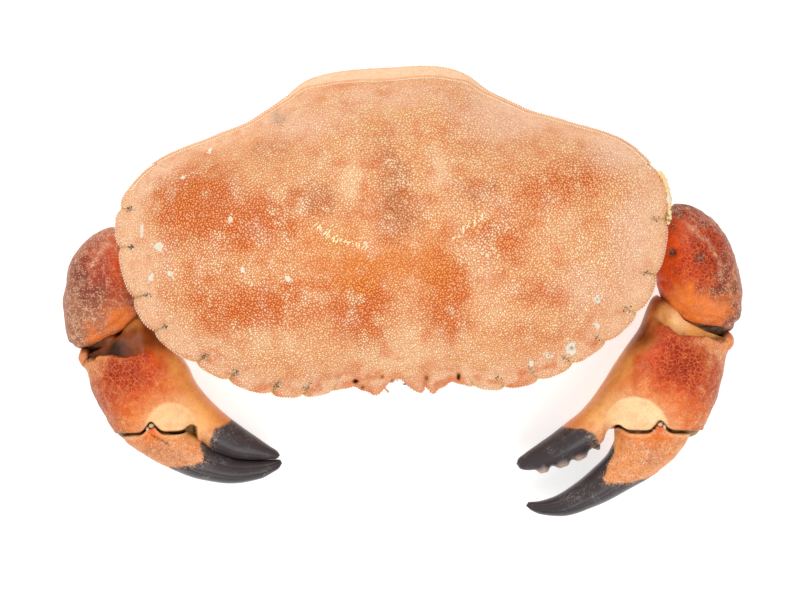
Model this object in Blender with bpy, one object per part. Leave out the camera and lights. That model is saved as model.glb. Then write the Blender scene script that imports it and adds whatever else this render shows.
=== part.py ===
"""Cooked edible crab, belly down with its claws folded in front of its face.

Each hard piece of the crab is one closed solid: the domed top shell with its pie-crust edge,
the breast plate, the tail flap, the mouth plates, the eyes, two claws of an arm, a wrist, a
palm with its fixed finger and a movable finger, and eight walking legs folded under the shell.

Frame: metres, +Z up. The origin is on the flat belly, +Y points to the crab's back edge, -Y to
its face, and +X to the claw that is open. The tables below are in millimetres.
"""

import bmesh
import bpy
import numpy as np

MM = 0.001
GAP = 0.35                 # clearance between pieces that touch

# ---- top shell ----
SHELL_TOP = 57.0           # height of the middle of the shell
SHELL_FLOOR = 16.3         # flat underside of the shell solid, just above the breast
UNDER_FOLD = 0.80          # how far in, as a share of the radius, the rim folds under
UNDER_BULGE = 1.5          # how far the fold bulges outwards half way down
SKIRT_INSIDE = 0.73        # inner face of the skirt that the shell has beside its mouth
RIM_THICKNESS = 2.4        # thickness of the pie-crust edge
SHELL_FULLNESS = 0.22      # share of the fall that happens close to the rim

# The shell's outline, symmetric about the Y axis: angle from the back in degrees, radius.
OUTLINE = ((0, 49.0), (28, 52.0), (36, 51.2), (49, 53.6), (60, 61.0), (74, 76.4), (85, 82.6),
           (105, 79.6), (126, 69.0), (147, 57.8), (161, 50.6), (180, 49.0))
# Height of the rim: angle from the back in degrees, height.
RIM_HEIGHT = ((0, 20.0), (30, 20.5), (60, 24.5), (85, 29.0), (130, 29.5), (180, 31.0))
# Lower edge of the fold: it comes down as a skirt beside the mouth, which is open in front.
FOLD_HEIGHT = ((0, 16.3), (120, 16.3), (134, 8.0), (150, 5.0), (161, 5.5), (164, 16.3), (180, 16.3))
# The pie-crust edge on each side: the first notch's angle from the back, and its lobes' widths.
LOBES_LEFT = (72, (11, 8.2, 11, 8.2, 11, 8.2, 11, 8.2))
LOBES_RIGHT = (78, (12, 12, 9, 9, 9, 9, 9))
NOTCH_DEPTH = 1.25
# The eye's socket and the teeth beside it on each side: angle from the back, depth. The face
# sits a little to +X of the middle, as it grew.
FRONT_LEFT = ((162.5, 4.2), (168, 0.8), (174, 1.0), (180, 0.0))
FRONT_RIGHT = ((158.5, 4.0), (165.5, 1.0), (170, 2.0), (174, 1.0), (180, 0.0))
BROKEN_FRONT = (6.0, 6.2)  # the broken front edge: half its width in degrees, and its depth
NOTCH_START = 0.9          # share of the radius at which the notches begin
PLAIN_COLUMNS = 14         # columns of the plain back edge, from the back to the first notch
LOBE_COLUMNS = 4           # columns of each lobe
DOME_RINGS = (0.2, 0.4, 0.58, 0.74, 0.87, 0.96)

# ---- breast plate and tail flap ----
BREAST_TOP = 16.0
BREAST_FLOOR = 4.3
BREAST_HALF = (36.0, 33.0)           # half width and half length at its top
BREAST_WAIST = 9.0                   # height below which its flanks slope inwards
BREAST_FLOOR_SHARE = 0.56            # its floor's size as a share of its top
TAIL_THICKNESS = 4.0
# The tail flap comes down from the shell's back edge and turns forward under the breast:
# y, z of its outer face and its half width, from the shell to its tip.
TAIL_PATH = ((45.0, 15.6, 17.0), (45.6, 10.0, 16.5), (43.0, 4.0, 16.0), (37.0, 0.0, 15.5),
             (24.0, 0.0, 13.0), (8.0, 0.0, 9.5), (-6.0, 0.0, 7.0), (-15.0, 0.0, 3.0))
TAIL_BEVEL = 0.9

# ---- eyes and mouth plates ----
EYE_RADIUS = 1.7
EYES = {"left": (-14.6, -48.2, 25.4), "right": (18.0, -47.8, 25.4)}
MOUTH_HALF = (5.2, 2.2, 6.0)
MOUTH_PLACE = (5.8, -36.2, 9.4)

# ---- claws ----
# Each piece is a ladder of sections: inner edge x, y, outer edge x, y, lowest and highest z.
# The first and the last row are its two ends, where both edges meet.
BLUNTNESS = 2.0            # how fast a piece swells from its ends, from 1 for a cone
ARM = ((37.0, -16.0, 37.0, -16.0, 7.0, 9.0),
       (37.8, -22.0, 37.8, -10.0, 1.0, 15.0),
       (52.0, -20.5, 50.0, -6.4, 0.0, 15.6),
       (68.0, -16.5, 66.0, -2.4, 0.0, 15.4),
       (75.4, -12.5, 74.4, -2.6, 1.5, 14.0),
       (76.4, -7.5, 76.4, -7.5, 7.0, 9.0))

WRIST_LEFT = ((-78.5, -4.0, -78.5, -4.0, 9.0, 11.0),
              (-77.6, -12.0, -84.5, 5.0, 1.5, 20.0),
              (-77.9, -19.5, -94.0, 0.0, 0.0, 23.0),
              (-81.5, -24.8, -99.6, -10.5, 0.0, 24.0),
              (-86.5, -28.2, -100.5, -21.0, 1.0, 22.5),
              (-92.0, -30.2, -99.2, -28.6, 3.0, 19.0),
              (-96.0, -31.2, -96.0, -31.2, 10.0, 12.0))

PALM_LEFT = ((-87.0, -30.9, -87.0, -30.9, 8.0, 10.0),
             (-80.6, -26.6, -96.6, -34.0, 2.0, 17.5),
             (-77.4, -21.6, -94.4, -38.6, 0.0, 19.5),
             (-71.6, -28.0, -92.8, -43.8, 0.0, 22.0),
             (-66.8, -33.2, -90.4, -50.4, 0.0, 22.5),
             (-63.8, -37.6, -85.6, -58.4, 0.0, 21.5),
             (-61.8, -42.4, -77.0, -57.6, 0.0, 20.0),
             (-59.2, -46.4, -67.6, -56.6, 0.5, 18.0),
             (-55.6, -50.6, -62.4, -58.6, 1.0, 16.5),
             (-50.4, -55.8, -57.6, -63.2, 1.5, 14.5),
             (-44.2, -60.8, -49.8, -66.0, 2.5, 12.0),
             (-37.6, -66.8, -37.6, -66.8, 6.0, 7.0))

FINGER_LEFT = ((-75.5, -60.6, -75.5, -60.6, 8.0, 10.0),
               (-70.0, -59.0, -83.2, -60.8, 1.0, 17.5),
               (-64.8, -58.6, -79.0, -63.6, 0.0, 18.0),
               (-61.0, -62.4, -71.6, -67.8, 0.5, 16.5),
               (-55.6, -65.4, -62.0, -72.0, 1.0, 14.5),
               (-48.6, -67.4, -51.0, -73.7, 2.0, 12.0),
               (-41.6, -68.4, -41.8, -71.8, 3.5, 9.5),
               (-36.8, -68.7, -36.8, -68.7, 6.0, 7.0))

WRIST_RIGHT = ((78.5, -4.0, 78.5, -4.0, 9.0, 11.0),
               (78.4, -12.0, 86.0, 4.8, 1.5, 20.0),
               (79.6, -20.5, 96.0, 0.4, 0.0, 23.5),
               (82.4, -26.0, 103.0, -12.0, 0.0, 25.0),
               (88.0, -30.8, 104.3, -22.0, 1.0, 23.5),
               (94.5, -33.2, 103.8, -30.0, 3.0, 20.0),
               (100.4, -34.2, 100.4, -34.2, 10.0, 12.0))

PALM_RIGHT = ((90.0, -34.2, 90.0, -34.2, 8.0, 10.0),
              (82.6, -27.2, 101.4, -36.8, 2.0, 18.0),
              (79.0, -22.6, 99.4, -42.0, 0.0, 20.5),
              (72.8, -32.6, 97.4, -49.0, 0.0, 23.5),
              (68.2, -38.6, 94.6, -56.4, 0.0, 24.0),
              (64.2, -44.2, 89.4, -64.4, 0.0, 22.5),
              (61.4, -48.4, 79.2, -60.6, 0.0, 21.0),
              (58.6, -52.2, 70.6, -62.2, 0.5, 19.0),
              (54.4, -56.8, 63.4, -61.0, 1.0, 17.0),
              (51.4, -59.4, 61.2, -66.4, 1.5, 16.5),
              (45.6, -63.8, 51.4, -71.2, 2.0, 14.5),
              (38.8, -68.4, 41.6, -73.8, 3.5, 11.0),
              (34.4, -72.4, 34.4, -72.4, 6.0, 7.0))

FINGER_RIGHT = ((76.0, -65.0, 76.0, -65.0, 8.0, 10.0),
                (70.0, -63.0, 86.8, -67.0, 1.0, 18.5),
                (64.6, -64.2, 82.2, -71.4, 0.0, 19.0),
                (62.4, -69.4, 76.4, -76.2, 0.5, 17.5),
                (57.8, -74.2, 68.4, -80.0, 1.0, 16.0),
                (51.8, -79.0, 58.6, -84.6, 1.5, 13.5),
                (45.0, -82.9, 47.6, -87.7, 2.5, 10.5),
                (36.8, -84.4, 36.8, -84.4, 5.0, 6.0))

# Blunt crushing teeth on the open claw's fixed finger: how many, and how far they stand out.
TEETH = 4
TOOTH_HEIGHT = 1.5
TOOTH_SPAN = (0.70, 0.95)            # where they are along the palm, from its wrist end

# ---- walking legs, folded under: hip x, y and knee x, y ----
LEGS = ((36.8, -1.5, 71.0, 6.5),
        (36.8, 7.0, 68.0, 14.8),
        (35.6, 15.4, 60.5, 21.6),
        (31.6, 23.2, 47.0, 26.8))
THIGH_HALF = (3.9, 3.6)              # half width and half height of the upper leg
THIGH_HEIGHT = 12.1                  # height of its middle
SHIN_HALF = (3.4, 3.9)
SHIN_HEIGHT = 3.5
SHIN_SHARE = 0.56                    # the shin's share of the way back in, the toe has the rest
TOE_HALF = (2.6, 2.6)
TOE_HEIGHT = 2.3
TOE_TIP_X = 22.5
TOE_FORWARD = 1.0                    # how far the toes point forward of the hips

COLOURS = {
    "shell": (0.66, 0.27, 0.12, 1.0),
    "belly": (0.72, 0.46, 0.25, 1.0),
    "claw": (0.52, 0.14, 0.05, 1.0),
    "finger": (0.30, 0.09, 0.04, 1.0),
    "leg": (0.56, 0.20, 0.08, 1.0),
    "eye": (0.02, 0.015, 0.01, 1.0),
}


def smooth(knots, values, at, end_lean):
    """A cubic through the values that never swings past them.

    A knot's slope is the harmonic mean of the slopes beside it, or level at a turning point, and
    an end's slope is end_lean times the slope beside it.
    """
    knots = np.asarray(knots, float)
    values = np.asarray(values, float)
    if values.ndim == 1:
        return smooth(knots, values[:, None], at, end_lean)[:, 0]
    rise = np.diff(values, axis=0) / np.diff(knots)[:, None]
    before, after = rise[:-1], rise[1:]
    same_way = before * after > 0
    total = np.where(same_way, before + after, 1.0)
    inner = np.where(same_way, 2 * before * after / total, 0.0)
    slopes = np.concatenate([end_lean * rise[:1], inner, end_lean * rise[-1:]])
    place = np.clip(np.searchsorted(knots, at, side="right") - 1, 0, len(knots) - 2)
    step = (knots[place + 1] - knots[place])[:, None]
    part = (at - knots[place])[:, None] / step
    start = values[place] * (2 * part ** 3 - 3 * part ** 2 + 1)
    end = values[place + 1] * (3 * part ** 2 - 2 * part ** 3)
    lean = slopes[place] * (part ** 3 - 2 * part ** 2 + part) * step
    reach = slopes[place + 1] * (part ** 3 - part ** 2) * step
    return start + end + lean + reach


def material(name):
    """A plain cooked-crab finish in one of the named colours."""
    made = bpy.data.materials.get(name)
    if made is None:
        made = bpy.data.materials.new(name)
        made.use_nodes = True
        shader = made.node_tree.nodes["Principled BSDF"]
        shader.inputs["Base Color"].default_value = COLOURS[name]
        shader.inputs["Roughness"].default_value = 0.25 if name in ("eye", "finger") else 0.5
        shader.inputs["Metallic"].default_value = 0.0
    return made


def wrap_sphere(name, finish, first_pole, rings, last_pole):
    """A sphere whose rings and poles are moved to the given points, in millimetres.

    rings has one row for each ring, from the first pole on, and one point for each segment.
    """
    ring_count, segment_count = rings.shape[:2]
    form = bmesh.new()
    bmesh.ops.create_uvsphere(form, u_segments=segment_count, v_segments=ring_count + 1, radius=1.0)
    for vertex in form.verts:
        fall = np.arccos(np.clip(vertex.co.z, -1, 1)) / np.pi
        turn = np.arctan2(vertex.co.y, vertex.co.x) / (2 * np.pi)
        ring = round(fall * (ring_count + 1))
        segment = round(turn * segment_count) % segment_count
        if ring == 0:
            point = first_pole
        elif ring == ring_count + 1:
            point = last_pole
        else:
            point = rings[ring - 1, segment]
        vertex.co = [float(value) * MM for value in point]
    bmesh.ops.triangulate(form, faces=form.faces)
    if form.calc_volume(signed=True) < 0:
        bmesh.ops.reverse_faces(form, faces=form.faces)
    mesh = bpy.data.meshes.new(name)
    form.to_mesh(mesh)
    form.free()
    mesh.shade_smooth()
    mesh.materials.append(material(finish))
    made = bpy.data.objects.new(name, mesh)
    bpy.data.collections["cooked_crab"].objects.link(made)
    return made


def rim_columns(lobes, front):
    """The angles from the back at which a half shell has columns, and the notch depth there.

    The notches lie between lobes of the given widths, and then along the front.
    """
    first, widths = lobes
    notches = [(first + sum(widths[:count]), NOTCH_DEPTH) for count in range(len(widths) + 1)]
    notches.extend(front)
    notch_angles, notch_depths = zip(*notches)
    angles = list(np.linspace(0.0, notch_angles[0], PLAIN_COLUMNS + 1)[:-1])
    depths = [0.0] * PLAIN_COLUMNS
    for lobe in range(len(notches) - 1):
        for column in range(LOBE_COLUMNS):
            across = column / LOBE_COLUMNS
            nearest = notch_depths[lobe] if across < 0.5 else notch_depths[lobe + 1]
            angles.append(notch_angles[lobe] + across * (notch_angles[lobe + 1] - notch_angles[lobe]))
            depths.append(nearest * abs(2 * across - 1) ** 4)
    angles.append(180.0)
    depths.append(notch_depths[-1])
    angles, depths = np.array(angles), np.array(depths)
    half_width, depth = BROKEN_FRONT
    broken = depth * (1 - np.minimum((180.0 - angles) / half_width, 1.0) ** 4)
    return angles, np.maximum(depths, broken)


def build_shell():
    """The domed top shell: its fall from the top is part even and part close to the rim."""
    left_angles, left_depths = rim_columns(LOBES_LEFT, FRONT_LEFT)
    right_angles, right_depths = rim_columns(LOBES_RIGHT, FRONT_RIGHT)
    # Columns run anticlockwise from the back, seen from above, so the left half comes first.
    angles = np.concatenate([left_angles, 360.0 - right_angles[-2:0:-1]])
    depths = np.concatenate([left_depths, right_depths[-2:0:-1]])
    folded = np.where(angles > 180.0, 360.0 - angles, angles)
    radius = smooth(*zip(*OUTLINE), folded, 0.0)
    rim = smooth(*zip(*RIM_HEIGHT), folded, 0.0)
    fold = smooth(*zip(*FOLD_HEIGHT), folded, 0.0)
    direction = np.stack([-np.sin(np.radians(angles)), np.cos(np.radians(angles))], axis=1)

    rings = []
    for share in DOME_RINGS:
        fall = (1 - SHELL_FULLNESS) * share ** 2 + SHELL_FULLNESS * share ** 6
        notch = depths * np.clip((share - NOTCH_START) / (1 - NOTCH_START), 0.0, 1.0)
        height = SHELL_TOP - (SHELL_TOP - rim) * fall
        rings.append(np.column_stack([direction * (radius * share - notch)[:, None], height]))
    edge = radius - depths
    for inward, below in ((0.3, 0.0), (0.0, 0.4 * RIM_THICKNESS), (1.0, RIM_THICKNESS)):
        rings.append(np.column_stack([direction * (edge - inward)[:, None], rim - below]))
    for share in (0.5, 1.0):
        inside = (edge - 1.0) * (1 - share) + radius * UNDER_FOLD * share
        inside = inside + UNDER_BULGE * np.sin(np.pi * share)
        height = (rim - RIM_THICKNESS) * (1 - share) + fold * share
        rings.append(np.column_stack([direction * inside[:, None], height]))
    inner = direction * (radius * SKIRT_INSIDE)[:, None]
    rings.append(np.column_stack([inner, np.full(len(angles), SHELL_FLOOR)]))
    wrap_sphere("shell", "shell", (0, 0, SHELL_TOP), np.array(rings), (0, 0, SHELL_FLOOR))


def build_breast():
    """The breast plate: a rounded box in plan, upright at the top and sloping in below."""
    turn = np.linspace(0, 2 * np.pi, 32, endpoint=False)
    across = np.sign(np.cos(turn)) * np.abs(np.cos(turn)) ** 0.6 * BREAST_HALF[0]
    along = np.sign(np.sin(turn)) * np.abs(np.sin(turn)) ** 0.8 * BREAST_HALF[1]
    rings = []
    for size, height in ((0.5, BREAST_TOP), (1.0, BREAST_TOP), (1.0, BREAST_WAIST),
                         (0.8, (BREAST_WAIST + BREAST_FLOOR) / 2 - 0.8),
                         (BREAST_FLOOR_SHARE, BREAST_FLOOR)):
        rings.append(np.column_stack([across * size, along * size, np.full(len(turn), height)]))
    wrap_sphere("breast", "belly", (0, 0, BREAST_TOP), np.array(rings), (0, 0, BREAST_FLOOR))


def build_tail_flap():
    """The tail flap: a bevelled plate along its path, with its thickness on the inner side."""
    table = np.array(TAIL_PATH, float)
    path = table[:, 0:2]
    ahead = np.gradient(path, axis=0)
    ahead /= np.linalg.norm(ahead, axis=1, keepdims=True)
    inward = np.column_stack([ahead[:, 1], -ahead[:, 0]])
    corners = ((-1, 1, 0), (-1, 0, 1), (-1, 0, 2), (-1, 1, 3), (1, 1, 3), (1, 0, 2), (1, 0, 1), (1, 1, 0))
    depths = (0.0, TAIL_BEVEL, TAIL_THICKNESS - TAIL_BEVEL, TAIL_THICKNESS)
    rings = np.zeros((len(table), len(corners), 3))
    for column, (side, tucked, depth) in enumerate(corners):
        point = path + inward * depths[depth]
        rings[:, column, 0] = side * (table[:, 2] - tucked * TAIL_BEVEL)
        rings[:, column, 1:] = point
    rings[:, :, 2] = np.maximum(rings[:, :, 2], 0.0)
    ends = rings[[0, -1]].mean(axis=1)
    wrap_sphere("tail_flap", "belly", ends[0], rings, ends[1])


def ellipsoid(name, finish, centre, half, segments=12, ring_count=5):
    """An ellipsoid, kept above the table."""
    fall = np.linspace(0, np.pi, ring_count + 2)[1:-1, None]
    turn = np.linspace(0, 2 * np.pi, segments, endpoint=False)[None, :]
    rings = np.stack([centre[0] + half[0] * np.sin(fall) * np.cos(turn),
                      centre[1] + half[1] * np.sin(fall) * np.sin(turn),
                      centre[2] + half[2] * np.cos(fall) * np.ones_like(turn)], axis=2)
    top = (centre[0], centre[1], centre[2] + half[2])
    bottom = (centre[0], centre[1], centre[2] - half[2])
    wrap_sphere(name, finish, top, rings, bottom)


def tooth_bulge(share):
    """How far the crushing teeth stand out at a share of the way along the open palm."""
    start, end = TOOTH_SPAN
    inside = (share > start) & (share < end)
    wave = np.abs(np.sin(np.pi * TEETH * (share - start) / (end - start)))
    return np.where(inside, TOOTH_HEIGHT * (wave - 0.4), 0.0)


def build_ladder(name, finish, rows, ring_count, segments=14, teeth=False):
    """A rounded form lofted through a ladder of sections, kept above the table.

    Each section is a squarish ellipse between the two edges and the lowest and highest z.
    """
    table = np.array(rows, float)
    middle = (table[:, 0:2] + table[:, 2:4]) / 2
    steps = np.linalg.norm(np.diff(middle, axis=0), axis=1)
    knots = np.concatenate([[0.0], np.cumsum(np.maximum(steps, 1.5))])
    knots /= knots[-1]
    share = np.linspace(0, 1, ring_count + 2)[1:-1]
    share = share - 0.06 * np.sin(2 * np.pi * share)
    section = smooth(knots, table, share, BLUNTNESS)
    inner, outer = section[:, 0:2], section[:, 2:4]
    if teeth:
        width = np.linalg.norm(outer - inner, axis=1, keepdims=True)
        outer = outer + (outer - inner) / width * tooth_bulge(share)[:, None]
    low, high = section[:, 4], section[:, 5]
    turn = np.linspace(0, 2 * np.pi, segments, endpoint=False)
    side = np.sign(np.cos(turn)) * np.abs(np.cos(turn)) ** 0.85
    rise = np.sign(np.sin(turn)) * np.abs(np.sin(turn)) ** 0.85
    centre = (inner + outer) / 2
    reach = (outer - inner) / 2
    plan = centre[:, None, :] + reach[:, None, :] * side[None, :, None]
    height = (low + high)[:, None] / 2 + (high - low)[:, None] / 2 * rise[None, :]
    rings = np.concatenate([plan, np.maximum(height, 0.0)[:, :, None]], axis=2)
    ends = [(row[0], row[1], (row[4] + row[5]) / 2) for row in (table[0], table[-1])]
    wrap_sphere(name, finish, ends[0], rings, ends[1])


def mirrored(rows, side):
    """The same ladder on the crab's other side where side is -1."""
    return [(side * row[0], row[1], side * row[2], *row[3:]) for row in rows]


def build_claws():
    """Two claws: the one at -X is shut and the one at +X is open, with blunt teeth."""
    for side, word in ((-1, "left"), (1, "right")):
        build_ladder(f"claw_arm_{word}", "claw", mirrored(ARM, side), 7, 12)
    for word, wrist, palm, finger in (("left", WRIST_LEFT, PALM_LEFT, FINGER_LEFT),
                                      ("right", WRIST_RIGHT, PALM_RIGHT, FINGER_RIGHT)):
        build_ladder(f"claw_wrist_{word}", "claw", wrist, 9)
        build_ladder(f"claw_palm_{word}", "claw", palm, 22, teeth=word == "right")
        build_ladder(f"claw_finger_{word}", "finger", finger, 13)


def build_limb(name, start, end, half_start, half_end, height):
    """One leg segment: a rounded bar from start to end in plan, kept above the table."""
    start, end = np.array(start, float), np.array(end, float)
    along = (end - start) / np.linalg.norm(end - start)
    across = np.array([-along[1], along[0]])
    rows = []
    for share, size in ((0.0, 0.0), (0.05, 0.72), (0.3, 1.0), (0.75, 1.0), (0.95, 0.8), (1.0, 0.0)):
        half = np.array(half_start) * (1 - share) + np.array(half_end) * share
        point = start + (end - start) * share
        reach = across * half[0] * size
        rise = half[1] * size
        middle_height = height[0] * (1 - share) + height[1] * share
        rows.append((*(point - reach), *(point + reach), middle_height - rise, middle_height + rise))
    build_ladder(name, "leg", rows, 5, 8)


def build_legs():
    """Four walking legs a side: the upper leg runs out, the shin and toe fold back below it."""
    for side, word in ((-1, "left"), (1, "right")):
        for number, (hip_x, hip_y, knee_x, knee_y) in enumerate(LEGS, start=1):
            hip = np.array([hip_x, hip_y])
            knee = np.array([knee_x, knee_y])
            tip = np.array([TOE_TIP_X, hip_y - TOE_FORWARD])
            ankle = knee + (tip - knee) * SHIN_SHARE
            toe_start = ankle + (tip - ankle) / np.linalg.norm(tip - ankle) * GAP
            flip = np.array([side, 1.0])
            size = 1.0 if number < 4 else 0.85
            thigh = (THIGH_HALF[0] * size, THIGH_HALF[1])
            shin = (SHIN_HALF[0] * size, SHIN_HALF[1])
            build_limb(f"leg_{number}_upper_{word}", hip * flip, knee * flip, thigh, thigh,
                       (THIGH_HEIGHT, THIGH_HEIGHT))
            build_limb(f"leg_{number}_shin_{word}", knee * flip, ankle * flip, shin, TOE_HALF,
                       (SHIN_HEIGHT, TOE_HEIGHT))
            build_limb(f"leg_{number}_toe_{word}", toe_start * flip, tip * flip, TOE_HALF, (0.9, 0.9),
                       (TOE_HEIGHT, 0.9))


def build_face():
    """The eyes in their sockets and the two plates that close the mouth."""
    for side, word in ((-1, "left"), (1, "right")):
        ellipsoid(f"eye_{word}", "eye", EYES[word], (EYE_RADIUS, EYE_RADIUS, EYE_RADIUS), 10, 5)
        plate = (side * MOUTH_PLACE[0], *MOUTH_PLACE[1:])
        ellipsoid(f"mouth_plate_{word}", "belly", plate, MOUTH_HALF)


def main():
    """Builds the whole crab in its own collection."""
    for old in list(bpy.data.objects):
        bpy.data.objects.remove(old, do_unlink=True)
    crab = bpy.data.collections.new("cooked_crab")
    bpy.context.scene.collection.children.link(crab)
    build_shell()
    build_breast()
    build_tail_flap()
    build_face()
    build_claws()
    build_legs()


main()
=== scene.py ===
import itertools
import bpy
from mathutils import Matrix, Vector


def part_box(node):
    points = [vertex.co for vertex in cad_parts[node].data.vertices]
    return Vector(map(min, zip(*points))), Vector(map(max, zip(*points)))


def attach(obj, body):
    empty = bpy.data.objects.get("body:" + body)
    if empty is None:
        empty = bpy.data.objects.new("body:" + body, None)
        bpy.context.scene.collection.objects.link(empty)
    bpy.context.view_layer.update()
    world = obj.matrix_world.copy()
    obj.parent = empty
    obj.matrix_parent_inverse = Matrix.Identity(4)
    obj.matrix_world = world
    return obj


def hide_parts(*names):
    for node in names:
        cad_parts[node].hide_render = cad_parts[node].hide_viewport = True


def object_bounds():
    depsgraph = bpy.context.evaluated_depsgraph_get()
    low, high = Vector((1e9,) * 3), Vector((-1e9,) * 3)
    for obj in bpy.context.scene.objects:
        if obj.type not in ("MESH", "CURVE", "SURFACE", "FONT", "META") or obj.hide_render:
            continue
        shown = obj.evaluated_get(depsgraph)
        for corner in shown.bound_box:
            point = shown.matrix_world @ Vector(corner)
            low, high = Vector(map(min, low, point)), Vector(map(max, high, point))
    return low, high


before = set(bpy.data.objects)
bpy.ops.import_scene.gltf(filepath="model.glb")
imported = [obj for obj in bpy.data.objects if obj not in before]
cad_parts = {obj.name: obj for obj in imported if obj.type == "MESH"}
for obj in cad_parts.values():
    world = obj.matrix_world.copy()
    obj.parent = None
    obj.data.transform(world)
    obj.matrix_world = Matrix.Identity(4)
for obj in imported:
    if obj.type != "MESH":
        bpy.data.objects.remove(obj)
CAD_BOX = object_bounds()

# Cooked edible crab: the finish of every hard piece, its granules, crusts, veins and joints.
#
# Laid out as an add-on and run as a script. The tables are in millimetres, and MM turns them
# into the frame's metres. +Z is up, +Y is the crab's back edge and -Y its face.

from types import SimpleNamespace

import bpy
import numpy as np

bl_info = {
    "name": "Cooked crab",
    "version": (1, 0, 0),
    "blender": (4, 5, 0),
    "location": "3D View > Sidebar > Crab",
    "description": "Builds the finished surfaces of a cooked edible crab",
    "category": "Add Mesh",
}

BODY = "root"
SIDES = ((-1, "left"), (1, "right"))

# ---- top shell: the same driving sizes as the frame's own shell ----
SHELL_TOP = 57.0
SHELL_FLOOR = 16.3
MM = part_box("shell")[1].z / SHELL_TOP
UNDER_FOLD = 0.80
UNDER_BULGE = 1.5
SKIRT_INSIDE = 0.73
LIP = 1.2
SHELL_FULLNESS = 0.22
OUTLINE = ((0, 49.0), (28, 52.0), (36, 51.2), (49, 53.6), (60, 61.0), (74, 76.4), (85, 82.6),
           (105, 79.6), (126, 69.0), (147, 57.8), (161, 50.6), (180, 49.0))
RIM_HEIGHT = ((0, 20.0), (30, 20.5), (60, 24.5), (85, 29.0), (130, 29.5), (180, 31.0))
FOLD_HEIGHT = ((0, 16.3), (120, 16.3), (134, 8.0), (150, 5.0), (161, 5.5), (164, 16.3), (180, 16.3))
# The lobes of the edge on each side: the first notch's angle from the back, the lobes' widths.
LOBES = {"left": (72, (11, 8.2, 11, 8.2, 11, 8.2, 11, 8.2, 8.2)),
         "right": (78, (12, 12, 9, 9, 9, 9, 9, 8))}
NOTCHES = {word: first + np.cumsum((0.0, *widths)) for word, (first, widths) in LOBES.items()}
NOTCH_DEPTH = 1.25
END_NOTCH_DEPTH = 0.8      # of the first and the last notch of each side
LAST_NOTCH = 168.0         # where the lobes end
UNEVEN = 0.4               # how far the outline wanders in and out
CRIMP = 0.16               # and the lip on top of that, in small waves
# Degrees from the back over which the rear ridge fades, and between which the edge has sutures.
REAR = (70.0, 80.0)
NOTCHED = (80, 160)
# The toothed front edge: its first and last angle and its depth, then its teeth and gaps, each
# with its x, its half width and how far it stands out. The widest gap is where it is broken.
FRONT_SPAN = (158.0, 203.5)
FRONT_DEPTH = 1.2
FRONT_TEETH = ((-14, 1.6, -1.0), (-7, 2.2, 1.4), (-1, 3.4, -4.6), (6, 2, 0.8), (8, 0.6, -1.4),
               (10, 1.4, 1.4), (16, 1.8, -1.2))
NOTCH_START = 0.9
SUTURE_LENGTH = 8.0
SUTURE_WIDTH = 0.42
SUTURE_DEPTH = 0.55
LOBE_RISE = 0.5            # how far each lobe bulges between its sutures
SETTLED = 0.9              # how far the dome sits lower, so that its swellings end at its top
# The beaded ridge inside the rear edge: angle from the back, distance from the edge.
RIDGE_INSET = ((0, 4.5), (22, 3.9), (31, 2.3), (42, 1.6), (80, 1.4))
RIDGE_GROOVE = 0.38
RIDGE_RISE = 0.16
# Its beads: the angles it covers, and for each row the distance from it, radius and spacing.
RIDGE_SPANS = ((0.0, 79.0), (281.0, 360.0))
RIDGE_BEADS = ((0.1, 0.31, 0.74), (-1.0, 0.19, 0.55))
# Beads round the lip: radius and spacing, and for each row the lift and the shift in degrees.
LIP_BEAD = 0.3
LIP_SPACING = 0.8
LIP_ROWS = ((75.0, 0.0), (40.0, 0.4), (5.0, 0.0))
# The smooth pale margin inside the edge: angle from the back, width.
MARGIN_WIDTH = ((0, 5.0), (40, 5.0), (75, 8.0), (90, 12.0), (125, 9.0), (160, 8.0), (180, 7.0))
# Swellings and hollows of the shell: x, y, half width, half length, height.
SWELLINGS = ((0, -12, 19, 15, 0.9), (0, 15, 9, 12, 0.7), (-43, 3, 22, 18, 0.8), (43, 3, 22, 18, 0.8),
             (-12, 15, 3, 8, -0.5), (13, 15, 3, 8, -0.5), (-21, -8, 4, 11, -0.45),
             (22, -8, 4, 11, -0.45), (-8, -33, 7, 5, 0.4), (9, -33, 7, 5, 0.4),
             (0, -38, 3, 6, -0.5), (-31, -27, 14, 8, 0.5), (32, -27, 14, 8, 0.5))
# Small pits beside the front teeth and the eyes, which are also painted dark as the shade inside them:
# x, y, half width, half length, depth.
PITS = ((-13, -44, 0.8, 0.6, 2.6), (-11, -46, 0.5, 0.5, 1), (17.5, -44, 0.5, 1, 2.6),
        (8, -44, 0.6, 0.9, 1), (-5, -43, 0.5, 0.4, 0.8))
SOCKETS = ((-13.9, -44.2, 26.4), (17.0, -43.6, 26.4))
SOCKET_DEPTH = 3.4
SOCKET_WIDTH = 2.4
EYE = 1.6
# The shell's mesh: rings of the dome, degrees of the quarter turn that spaces them, columns all
# round, and columns more along the toothed front.
DOME_RINGS = 66
DOME_SPREAD = 66.0
LIP_LIFTS = (0.45, 0.15, -0.15, -0.45, -0.75, -1.0)   # heights of the lip's rings, in lips
FOLD_RINGS = 18
SHELL_COLUMNS = 620
FRONT_COLUMNS = 180
# How granules stand out: how much lighter each one's tip and skirt are, and how much darker the
# shell is between them, for red, green and blue. Then how far they are out of line, as a share
# of their spacing.
GRAIN_TIP = (0.36, 0.80, 1.40)
GRAIN_SKIRT = (0.18, 0.36, 0.46)
VALLEY = (0.30, 0.52, 0.70)
GRAIN_WANDER = 0.36

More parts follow.
